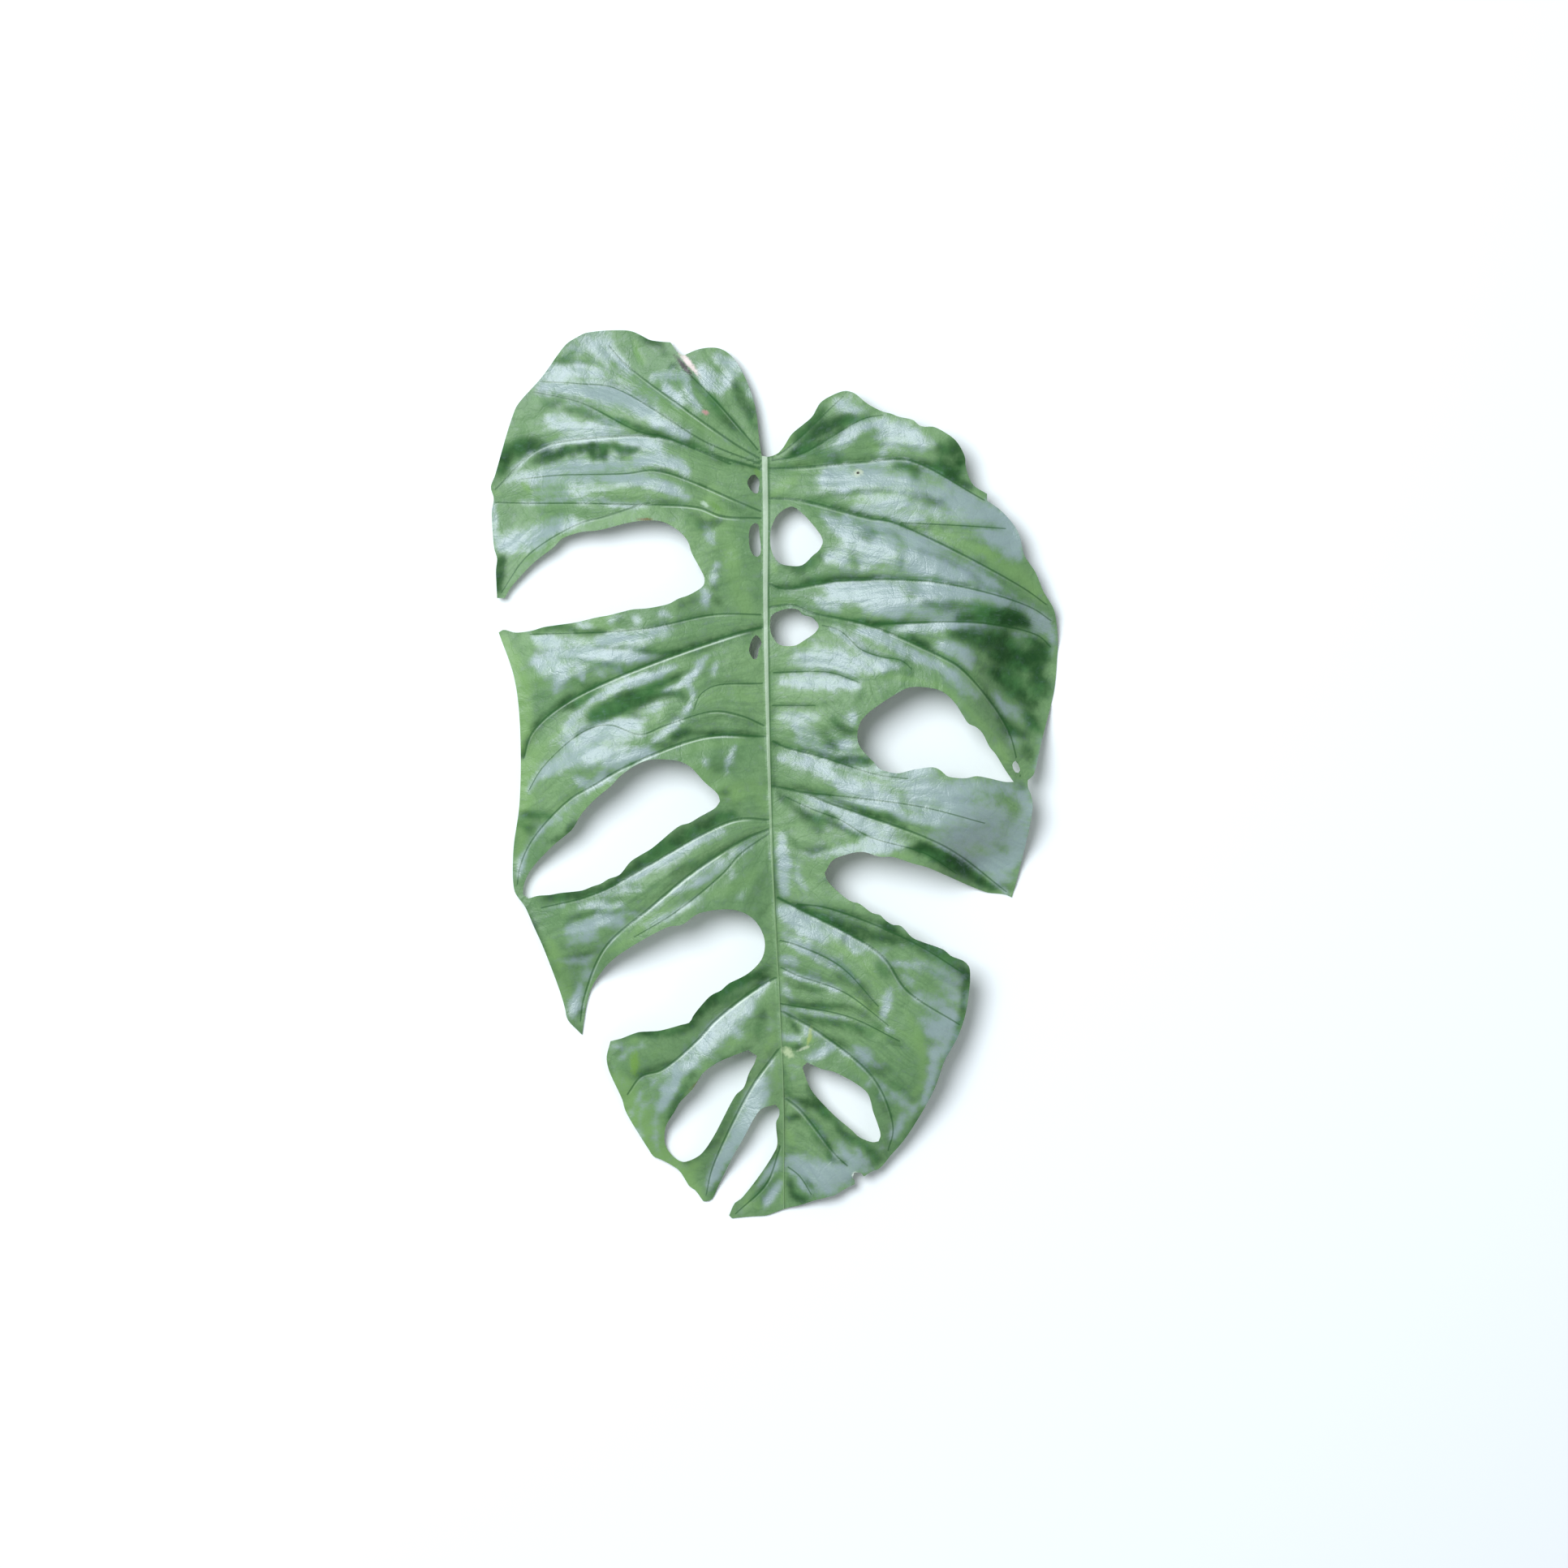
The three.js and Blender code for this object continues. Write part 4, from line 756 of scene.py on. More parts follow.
            (0.65, 2.6, 2.6, 720, 690, 1060, 510, 1160, 450, 1250, 420), (0.5, 1.6, 1.6, 560, 745, 830, 720),
            (0.7, 1.9, 1.9, 500, 812, 740, 800), (0.6, 1.2, 1.2, 350, 820, 420, 810),
            (0.9, 0.9, 0.9, 640, 850, 820, 850), (0.75, 3.4, 3.4, 440, 940, 640, 890, 720, 900),
            (0.5, 3.2, 3.2, 450, 1000, 590, 970), (0.5, 1.6, 1.6, 400, 1110, 560, 1098),
            (0.65, 1.5, 1.5, 1010, 735, 1130, 690, 1420, 470), (0.9, 1.2, 1.2, 1120, 700, 1150, 680),
            (0.6, 1.6, 1.6, 860, 920, 1130, 770),
            (0.5, 0.6, 0.6, 1490, 420, 1130, 640, 860, 840, 700, 960, 560, 1090, 500, 1180),
            (0.5, 1.2, 1.2, 1370, 740, 1360, 780), (0.4, 1, 1, 1330, 620, 1300, 680),
            (0.9, 1.5, 1.5, 500, 1230, 500, 1300), (0.7, 1, 1, 560, 1150, 530, 1220),
            (0.6, 1.6, 1.6, 1450, 1290, 1510, 1230),
        ],
        "paintedShade": [
            (0.9, 1.6, 1.6, 190, 330, 260, 320, 340, 330), (0.6, 3, 3, 170, 375, 250, 400),
            (0.9, 1.9, 1.9, 300, 775, 450, 760, 600, 725, 700, 680),
            (0.85, 3.4, 3.4, 720, 650, 980, 480, 1230, 350, 1330, 320), (0.8, 0.9, 0.9, 1255, 200, 1300, 200),
            (0.6, 0.9, 0.9, 1320, 260, 1360, 260), (0.7, 1.5, 1.5, 330, 470, 420, 430, 480, 360),
            (0.4, 1, 1, 640, 720, 900, 700, 980, 700), (0.8, 1, 1, 420, 890, 520, 860, 830, 830),
            (0.3, 1.5, 1.5, 560, 790, 860, 760), (0.5, 2.4, 2.4, 1000, 640, 1450, 430),
            (0.5, 0.9, 0.9, 380, 300, 560, 180), (1, 0.5, 0.5, 200, 800, 380, 1200),
            (0.5, 1.2, 1.2, 400, 1090, 520, 1080, 600, 1050), (0.7, 0.8, 0.8, 1450, 870, 1520, 800),
            (0.9, 1.9, 1.9, 1200, 1290, 1300, 1240, 1420, 1200, 1500, 1190),
        ],
        "young": [
            (0.7, 2.4, 2.4, 180, 20, 200, 300), (0.6, 1.5, 1.5, 500, 300, 600, 200, 800, 60),
            (0.5, 5, 5, 1300, 200, 1450, 180, 1500, 300),
            (0.6, 2.4, 2.4, 1100, 800, 900, 860, 760, 1000, 650, 1060), (0.5, 3, 3, 330, 1000, 380, 1150),
            (0.4, 2, 2, 450, 820, 400, 860), (0.4, 4, 4, 1200, 760, 1350, 700, 1450, 620),
        ],
    },
    "rightMiddle": {
        "corner": (-5.9, -36.1),
        "unit": 0.0991,
        "bloom": [
            (0.9, 2.8, 2.8, 90, 60, 120, 250), (0.9, 1.2, 1.2, 180, 110, 180, 200),
            (0.4, 2, 2, 200, 190, 230, 250), (0.5, 2, 2, 380, 30, 560, 30),
            (0.6, 3, 3, 1100, 90, 1250, 110, 1320, 60, 1360, 0), (0.8, 1.5, 1.5, 1200, 180, 1290, 200),
            (0.9, 0.8, 0.8, 880, 0, 1000, 50, 1100, 110, 1290, 260),
            (0.9, 0.8, 0.8, 80, 310, 440, 490, 540, 530, 640, 600),
            (0.85, 3.2, 3.2, 90, 350, 220, 440, 320, 500),
            (0.8, 2.4, 2.4, 100, 470, 330, 600, 430, 660, 480, 710), (1, 1.2, 1.2, 140, 520, 250, 572),
            (0.7, 2.2, 2.2, 100, 590, 180, 630), (1, 1.7, 1.7, 110, 660, 280, 712, 350, 740),
            (0.8, 1, 1, 330, 740, 400, 762), (0.9, 1.2, 1.2, 100, 750, 150, 790),
            (0.7, 1.2, 1.2, 110, 860, 330, 892, 430, 905), (0.8, 2.2, 2.2, 110, 1005, 190, 1020),
            (0.6, 1, 1, 210, 960, 230, 1000), (0.9, 1.6, 1.6, 385, 460, 400, 480),
            (0.9, 1.1, 1.1, 445, 515, 480, 560, 515, 560), (0.5, 1, 1, 620, 560, 660, 540),
            (0.5, 2.2, 2.2, 670, 625, 760, 622, 880, 650, 950, 700, 1000, 760),
            (0.8, 2.2, 2.2, 665, 760, 622, 900), (0.6, 2, 2, 720, 740), (0.8, 1.1, 1.1, 620, 960, 680, 970),
            (0.5, 3, 3, 780, 790, 900, 840, 1000, 900), (0.7, 2, 2, 1000, 800, 1040, 820),
            (0.65, 5, 5, 850, 910, 900, 960, 980, 960, 960, 1060), (0.9, 2.8, 2.8, 880, 1080, 940, 1090),
            (0.6, 1.3, 1.3, 745, 680, 770, 740), (0.5, 1.6, 1.6, 470, 1050, 560, 1090),
        ],
        "paintedShade": [
            (1, 3.6, 3.6, 825, 25, 1000, 110, 1100, 160, 1200, 230), (0.8, 1.8, 1.8, 1120, 190, 1240, 240),
            (0.7, 1.1, 1.1, 1250, 200, 1300, 240),
            (1, 0.8, 0.8, 60, 30, 75, 270, 100, 295, 230, 345, 330, 410, 520, 510),
            (0.7, 0.9, 0.9, 160, 308, 350, 335, 440, 357, 640, 430, 860, 560),
            (0.8, 3, 3, 200, 340, 560, 470, 680, 510), (0.7, 3.2, 3.2, 640, 440, 880, 570, 1060, 670),
            (0.7, 2.4, 2.4, 1045, 640, 1060, 740), (0.8, 1.1, 1.1, 600, 400, 700, 432),
            (0.8, 1, 1, 830, 510, 1040, 612), (0.6, 1.5, 1.5, 350, 150, 330, 200),
            (0.8, 0.7, 0.7, 640, 600, 760, 790), (0.6, 2, 2, 600, 620, 650, 690),
            (0.8, 1.5, 1.5, 250, 560, 430, 650, 470, 690),
            (0.8, 0.9, 0.9, 100, 630, 180, 652, 260, 692, 360, 722),
            (0.5, 3, 3, 380, 680, 480, 730, 600, 870),
            (0.7, 1.9, 1.9, 120, 700, 200, 740, 330, 765),
            (0.8, 1.7, 1.7, 100, 800, 160, 832, 400, 842, 460, 852),
            (0.7, 1.3, 1.3, 450, 852, 560, 905, 630, 960), (0.7, 2.5, 2.5, 200, 905, 440, 945, 560, 1000),
            (0.9, 1.2, 1.2, 130, 900, 190, 980), (0.7, 1.1, 1.1, 300, 1000, 440, 1052),
            (0.7, 1.5, 1.5, 110, 1060, 200, 1060), (0.7, 0.9, 0.9, 820, 640, 920, 680, 1040, 762),
            (0.6, 1.3, 1.3, 1060, 700, 1040, 850, 1000, 960), (0.8, 0.9, 0.9, 0, 700, 50, 680),
            (0.8, 0.8, 0.8, 420, 480, 430, 520), (0.5, 1.1, 1.1, 640, 1000, 720, 1060),
        ],
        "young": [
            (0.6, 3.4, 3.4, 340, 450, 400, 540, 520, 600, 600, 740),
            (0.5, 3, 3, 480, 800, 560, 860, 640, 800),
            (0.6, 3, 3, 740, 870, 800, 960, 840, 1060), (0.5, 2, 2, 560, 960, 700, 1030),
            (0.7, 2.2, 2.2, 1050, 20, 1200, 30), (0.8, 1.3, 1.3, 240, 980, 260, 1030),
        ],
    },
    "leftTip": {
        "corner": (-131.9, -94.9),
        "unit": 0.0857,
        "bloom": [
            (0.8, 2, 2, 350, 220, 310, 360), (0.4, 1.2, 1.2, 400, 80, 370, 160),
            (0.5, 1.5, 1.5, 560, 545, 620, 545), (0.6, 0.8, 0.8, 740, 515, 590, 620),
            (0.6, 0.7, 0.7, 1500, 150, 1130, 430, 1000, 580, 880, 680, 720, 740),
            (0.6, 1.5, 1.5, 1380, 260, 1390, 330), (0.9, 1.6, 1.6, 1230, 395, 1340, 470),
            (1, 2, 2, 1130, 480, 1100, 560), (0.8, 1, 1, 1160, 440, 1150, 490),
            (0.6, 1.6, 1.6, 1070, 640, 1000, 700), (0.95, 1.9, 1.9, 940, 670, 940, 760, 850, 910),
            (0.5, 1.2, 1.2, 830, 740, 790, 780), (0.6, 0.8, 0.8, 740, 810, 670, 950),
            (0.5, 0.8, 0.8, 800, 860, 740, 920, 720, 1000), (0.6, 1, 1, 820, 950, 830, 1150, 850, 1190),
            (0.5, 0.8, 0.8, 550, 650, 620, 760), (0.5, 0.8, 0.8, 700, 1040, 740, 1110),
            (0.7, 2.2, 2.2, 1460, 720, 1360, 880), (0.8, 1, 1, 1330, 870, 1320, 940),
            (0.65, 3, 3, 1490, 820, 1330, 1060, 1190, 1280, 1140, 1380),
            (0.7, 1.2, 1.2, 1510, 620, 1520, 660),
            (0.4, 1, 1, 1530, 360, 1510, 440), (0.9, 0.9, 0.9, 1560, 1240, 1430, 1400),
            (1, 1.2, 1.2, 1568, 1370, 1480, 1520),
        ],
        "paintedShade": [
            (0.9, 2.3, 2.3, 1490, 60, 1260, 190, 1150, 260, 1000, 420, 740, 470),
            (0.8, 0.8, 0.8, 1520, 120, 1420, 190, 1160, 300), (0.5, 1, 1, 600, 490, 840, 435),
            (0.7, 1.5, 1.5, 960, 620, 680, 725), (0.4, 1.4, 1.4, 1100, 480, 940, 630),
            (0.6, 0.8, 0.8, 640, 540, 560, 610), (0.9, 0.6, 0.6, 530, 620, 560, 720),
            (1, 0.7, 0.7, 1390, 530, 1200, 640, 1060, 780), (0.7, 1.7, 1.7, 1060, 700, 980, 820, 890, 1000),
            (0.6, 1.4, 1.4, 1420, 600, 1360, 760, 1220, 1040, 1140, 1160, 1050, 1230),
            (0.9, 0.7, 0.7, 980, 1240, 1040, 1240), (0.4, 1.4, 1.4, 1200, 1400, 1130, 1460),
            (0.5, 2.3, 2.3, 1480, 300, 1450, 400, 1440, 500), (0.4, 1, 1, 1540, 550, 1500, 590),
            (0.4, 1, 1, 1340, 1140, 1180, 1420), (0.8, 1.3, 1.3, 1540, 1160, 1400, 1380),
            (0.7, 1, 1, 1568, 1310, 1400, 1480), (0.7, 0.8, 0.8, 380, 290, 360, 350),
            (1, 0.7, 0.7, 360, 440, 375, 470), (0.5, 0.6, 0.6, 280, 390, 340, 430),
            (0.3, 1.2, 1.2, 260, 60, 290, 230),
        ],
        "young": [
            (1.3, 1.7, 1.7, 700, 570, 690, 680), (0.9, 1.3, 1.3, 660, 500, 720, 490),
            (0.4, 2.5, 2.5, 800, 600, 860, 560), (0.5, 3, 3, 650, 760, 700, 1000, 780, 1120),
            (0.7, 2, 2, 880, 1180, 1110, 1470), (0.4, 2, 2, 1000, 1290, 1100, 1250),
            (0.6, 2.3, 2.3, 1180, 560, 1400, 460), (0.5, 1.4, 1.4, 1080, 690, 1200, 600),
            (1, 1.3, 1.3, 1410, 1430, 1350, 1540), (0.4, 2.5, 2.5, 1490, 560, 1540, 480),
            (0.5, 1.4, 1.4, 270, 180, 300, 250), (0.6, 1.2, 1.2, 480, 80, 420, 200),
        ],
    },
    "rightTip": {
        "corner": (-10.1, -111.7),
        "unit": 0.0830,
        "bloom": [
            (0.8, 1.9, 1.9, 330, 420, 480, 370), (0.6, 1, 1, 460, 330), (0.8, 1, 1, 240, 530, 250, 560),
            (0.4, 1, 1, 210, 470, 290, 480), (0.9, 1.3, 1.3, 700, 400, 690, 440),
            (0.5, 1.5, 1.5, 640, 380, 720, 460, 800, 470), (0.7, 0.8, 0.8, 700, 560, 710, 600),
            (0.7, 1, 1, 790, 650, 800, 690), (1, 2.3, 2.3, 1120, 390, 1090, 600, 1050, 700),
            (0.6, 3, 3, 1100, 250, 1180, 250), (0.5, 2, 2, 1200, 180), (0.6, 2, 2, 860, 650, 960, 720),
            (0.8, 1.7, 1.7, 930, 780, 870, 920), (0.5, 2, 2, 1000, 720, 960, 800),
            (0.9, 0.8, 0.8, 800, 980, 780, 985), (0.8, 1.9, 1.9, 530, 960, 600, 1060),
            (0.7, 1.2, 1.2, 620, 980, 700, 1080), (0.6, 1, 1, 680, 1120, 740, 1110),
            (0.7, 3.2, 3.2, 420, 1110, 500, 1180, 560, 1160), (0.8, 1.5, 1.5, 500, 1250, 420, 1260),
            (0.5, 2.3, 2.3, 290, 1120, 400, 1130), (1, 0.7, 0.7, 270, 1180, 340, 1280),
            (0.8, 0.8, 0.8, 260, 1130), (0.7, 0.7, 0.7, 180, 140, 640, 440, 740, 540, 840, 700),
            (0.7, 0.7, 0.7, 200, 670, 400, 870, 500, 1010, 600, 1100), (0.6, 0.8, 0.8, 780, 580, 960, 660),
            (0.9, 1, 1, 150, 1050, 20, 1240), (1, 1.3, 1.3, 160, 1200, 60, 1370),
            (0.7, 0.8, 0.8, 100, 450, 100, 500),
        ],
        "paintedShade": [
            (0.8, 1.2, 1.2, 220, 345, 300, 352), (0.8, 1.3, 1.3, 200, 540, 210, 640, 300, 700, 330, 740),
            (0.9, 2.8, 2.8, 300, 700, 400, 720, 440, 790), (0.5, 2, 2, 330, 600, 400, 680),
            (0.8, 2.1, 2.1, 440, 760, 540, 880, 620, 940, 740, 1000),
            (0.95, 2.3, 2.3, 200, 800, 300, 800, 440, 960, 500, 1060, 560, 1090),
            (0.7, 1.2, 1.2, 210, 1000, 230, 1030), (0.5, 1.5, 1.5, 800, 1040, 720, 1100),
            (0.6, 1.9, 1.9, 700, 1000, 760, 1060), (0.95, 2.3, 2.3, 210, 1190, 260, 1300, 320, 1310),
            (0.8, 1.1, 1.1, 310, 1180, 360, 1240), (0.5, 2, 2, 620, 420, 700, 500, 800, 530),
            (0.4, 2, 2, 740, 470, 860, 490), (0.6, 1.5, 1.5, 760, 600, 840, 800),
            (0.5, 1.5, 1.5, 820, 560, 920, 620, 980, 690),
            (0.6, 1.3, 1.3, 1300, 0, 1290, 150, 1260, 260, 1180, 420),
            (0.5, 0.9, 0.9, 1160, 480, 1100, 660, 920, 940, 820, 1040), (0.4, 1.4, 1.4, 620, 200, 800, 260),
            (0.5, 1.2, 1.2, 830, 280, 920, 350), (0.6, 0.8, 0.8, 180, 450, 190, 600),
            (0.7, 1.1, 1.1, 0, 1180, 130, 990), (0.5, 1.1, 1.1, 0, 1400, 140, 1200),
            (0.7, 0.9, 0.9, 130, 850, 150, 940),
        ],
        "young": [
            (0.8, 2.1, 2.1, 200, 880, 240, 960), (1, 1, 1, 340, 270, 340, 330),
            (0.5, 2.3, 2.3, 560, 420, 700, 560),
            (0.6, 3.2, 3.2, 900, 240, 1000, 320, 1040, 420, 1040, 560, 1000, 640),
            (0.4, 2.3, 2.3, 640, 60, 760, 140), (0.4, 2.5, 2.5, 60, 30, 100, 150, 110, 300, 60, 420),
            (0.6, 1.3, 1.3, 130, 440, 150, 640), (1, 0.8, 0.8, 170, 1170, 180, 1340),
            (0.9, 1.3, 1.3, 0, 1320, 30, 1380),
        ],
    },
}


def strokesOf(kind):
    # strength, left and right reach, and points in millimetres
    for sheet in strokes.values():
        for strength, left, right, *flat in sheet[kind]:
            points = np.array(flat, float).reshape(-1, 2) * sheet["unit"] * (1, -1) + sheet["corner"]
            yield strength, left, right, points


def noiseAt(size, name, detail=2):
    seed = seeds[name]
    spots = (Vector((x / size + seed, y / size, seed)) for x, y, _ in places)
    return np.array([noise.fractal(spot, octaveFade, octaveStep, detail) for spot in spots])


def strokeField(kind, wander):
    # each stroke narrows toward its ends, and its rims wander a little
    total = np.zeros(len(places))
    for strength, left, right, points in strokesOf(kind):
        if len(points) == 1:
            distance = np.linalg.norm(wander - points[0] * mm, axis=1)
            total += strength * np.exp(-(distance / (left * mm)) ** 2)
        else:
            curve = smoothCurve(points, brush["step"]) * mm
            close, distance, share, side, _ = nearVein(wander, curve)
            share = np.clip(share, brush["endShare"], 1 - brush["endShare"])
            narrowing = np.sin(np.pi * share) ** brush["endShape"]
            narrowing = brush["endWidth"] + (1 - brush["endWidth"]) * narrowing
            reach = np.where(side > 0, left, right) * narrowing * mm + brush["leastReach"]
            total[close] += strength * np.exp(-(distance / reach) ** brush["edge"])
    return brush["fullTone"] * (1 - np.exp(-brush["build"] * total))


def heightsFacing(slope):
    # the relief whose faces tilt by that slope toward the upper left
    a, b = pairs[:, 0], pairs[:, 1]
    rise = (places[b, :2] - places[a, :2]) @ np.array(relief["lightWay"]) * (slope[a] + slope[b]) / 2
    count = len(places)
    degree = np.bincount(pairs.ravel(), minlength=count) + relief["tiltHold"]
    push = np.bincount(b, rise, count) - np.bincount(a, rise, count)
    heights = np.zeros(count)
    for _ in range(relief["tiltRounds"]):
        total = np.bincount(a, heights[b], count) + np.bincount(b, heights[a], count)
        heights = (total + push) / degree
    return heights


def spreadBetweenVeins(half):
    # the rank of each vein of one half, spread evenly over the blade between them
    on = np.flatnonzero([n >= 0 and veins[n]["half"] == half for n in onVein])
    ranks = np.array([veins[onVein[i]]["rank"] for i in on], float)
    key = places[:, 1] + relief["spreadSlant"] * np.abs(fromMidrib)
    order = np.argsort(key[on])
    spread = np.interp(key, key[on][order], ranks[order])
    spread[on] = ranks
    loose = np.ones(len(places), bool)
    loose[on] = False
    return relaxed(spread, pairs, loose, relief["spreadRounds"], relief["spreadStep"])


fromMidrib = places[:, 0] - midribX(places[:, 1])
spreads = {half: spreadBetweenVeins(half) for half in ("left", "right")}
across = np.where(fromMidrib < 0, spreads["left"], spreads["right"])
print("fields spread between the veins")


def veinFields():
    # how each point lies by the nearest vein: pressed in, on the rib below, distance in widths of the painted
    # crease shade line, in the hollow above it (painted shade), on the lip (painted highlight) and in the
    # line of light under it
    press, rib, hollow, lip, light = np.zeros((5, len(places)))
    mark = np.full(len(places), relief["lineLimit"])
    nearest, second = np.full((2, len(places)), farAway)
    for number, vein in enumerate(veins):
        close, distance, share, side, past = nearVein(places, vein["line"])
        onIt = onVein[close] == number
        distance[onIt] = 0
        below = (side > 0) == (vein["half"] == "left")
        size = vein["strength"] * (1 - relief["veinThinning"] * share)
        press[close] = np.maximum(press[close], size * np.exp(-distance / relief["veinReach"]))
        rib[close] = np.maximum(rib[close], size * np.exp(-(distance / relief["sideRibWidth"]) ** 2))
        lineWidth = relief["lineWidth"] + relief["lineGrowth"] * size
        mark[close] = np.minimum(mark[close], distance / lineWidth)
        apart = size * np.clip(share * relief["startFade"], relief["startLeast"], 1) * ~past
        above = np.exp(-(distance / relief["hollowReach"]) ** 2)
        above *= np.where(onIt, relief["hollowOnVein"], ~below)
        under = np.exp(-((distance - relief["lipGap"]) / relief["lipReach"]) ** 2)
        under *= np.where(onIt, relief["lipOnVein"], below)
        lit = np.where(onIt, relief["lightOnVein"], below) * (distance < relief["lightReach"])
        for field, amount in ((hollow, above), (lip, under), (light, lit)):
            field[close] = np.maximum(field[close], apart * amount)
        second[close] = np.minimum(second[close], np.maximum(nearest[close], distance))
        nearest[close] = np.minimum(nearest[close], distance)
    light *= np.clip((second - relief["lightReach"]) / relief["lightReach"], 0, 1)
    return press, rib, mark, hollow, lip, light


def frameHeights():
    # the height of the frame's leaf under every point; points past its rim take the rim's height
    low = [f for f in shell.faces if f.normal.z < blade["wallTilt"]]
    bmesh.ops.delete(shell, geom=low, context="FACES")
    tree = BVHTree.FromBMesh(shell)
    starts = np.vstack(loops)
    ways = np.vstack([np.roll(loop, -1, 0) for loop in loops]) - starts
    heights = np.zeros(len(places))
    for i, (x, y, _) in enumerate(places):
        hit = tree.ray_cast(Vector((x, y, farAway)), Vector((0, 0, -1)))[0]
        if hit is None:
            gap = places[i, :2] - starts[:, :2]
            share = np.clip((gap * ways[:, :2]).sum(1) / (ways[:, :2] ** 2).sum(1), 0, 1)
            miss = ((gap - share[:, None] * ways[:, :2]) ** 2).sum(1).argmin()
            heights[i] = starts[miss, 2] + share[miss] * ways[miss, 2]
        else:
            heights[i] = hit.z
    return heights


def rimDistances():
    tree = KDTree(len(outlinePoints))
    for i, (x, y) in enumerate(outlinePoints):
        tree.insert((x, y, 0), i)
    tree.balance()
    return np.array([tree.find((x, y, 0))[2] for x, y, _ in places])


press, rib, mark, hollow, lip, light = veinFields()
everywhere = np.ones(len(places), bool)
top = relaxed(frameHeights(), pairs, everywhere, blade["smoothRounds"])
rimDistance = rimDistances()
cord = cordHalfWidth(places[:, 1])
fromCord = np.abs(fromMidrib)
calm = np.clip(fromCord / relief["calmReach"], 0, 1)
pleatWander = relief["pleatWander"] * noiseAt(relief["pleatGrain"], "pleat")
pleat = np.sin(2 * math.pi * (relief["pleatsBetweenVeins"] * across + pleatWander))
top += relief["pleatHeight"] * pleat * calm * np.clip(1 - press * relief["pleatFade"], 0, 1)
top += relief["crumpleHeight"] * noiseAt(relief["crumpleSize"], "crumple") * calm
top += relief["quiltHeight"] * noiseAt(relief["quiltSize"], "quilt", 1) * calm
wander = np.stack([noiseAt(relief["toneGrain"], name) for name in ("wanderX", "wanderY")], axis=1)
wander = places[:, :2] + relief["toneWander"] * wander
# the pale strokes mark the painted reflection, the deep strokes the painted shade
bloom, paintedShade, young = (strokeField(kind, wander) for kind in ("bloom", "paintedShade", "young"))
uneven = relief["unevenShare"] + noiseAt(relief["unevenGrain"], "uneven")
uneven = np.clip(uneven, relief["unevenLeast"], relief["mostTone"])
between = onVein < 0
bloom = relaxed(bloom, pairs, between, relief["sheenRounds"])
paintedShade = relaxed(paintedShade, pairs, between, relief["shadeRounds"])
young = relaxed(young, pairs, everywhere, relief["sheenRounds"])
# painted highlight on the lip under each vein, painted shade in the hollow above it
bloom = bloom * (1 - relief["hollowSheen"] * hollow) + relief["lipSheen"] * lip * uneven
paintedShade = paintedShade * (1 - lip) + relief["hollowShade"] * hollow * uneven
bloom, paintedShade = (relaxed(np.clip(tone, 0, relief["mostTone"]), pairs, everywhere, 1)
                for tone in (bloom, paintedShade))
bloom *= 1 - relief["shadeOverSheen"] * np.clip(paintedShade, 0, 1)
towardLight = relief["sheenSlope"] * np.where(fromMidrib < 0, 1, relief["rightShare"])
top += heightsFacing(towardLight * bloom - relief["shadeSlope"] * paintedShade)
top -= relief["veinDepth"] * press
groove = relief["grooveDepth"] * np.exp(-np.maximum(fromCord - cord, 0) / relief["grooveReach"])
top += midrib["cordHeight"] * np.clip(1 - (fromCord / cord) ** 2, 0, 1) - groove
top = np.minimum(top, cadHigh[2] - relief["belowBox"])
print("heights set, from", round(top.min() / mm, 2), "to", round(top.max() / mm, 2), "mm")


def undersideHeights():
    inward = smoothStep(rimDistance / blade["rimBand"])
    depth = blade["rimThickness"] + (blade["bodyThickness"] - blade["rimThickness"]) * inward
    fromStalk = midrib["stalkY"] - places[:, 1]
    down = np.clip(fromStalk / (midrib["stalkY"] - midrib["tipY"]), 0, 1)
    flare = midrib["stalkFlare"] * np.clip(1 - fromStalk / midrib["stalkFlareLength"], 0, 1)
    keel = midrib["keelDepth"] * (1 - midrib["keelThinning"] * down) + flare
    depth += keel * np.exp(-(fromCord / (midrib["keelSpread"] * cord)) ** 2)
    depth += relief["sideRibDepth"] * rib * np.clip(rimDistance / relief["ribRim"], 0, 1)
    return np.maximum(top - depth, 0)


bottom = undersideHeights()
top = np.maximum(top, bottom + blade["rimThickness"])


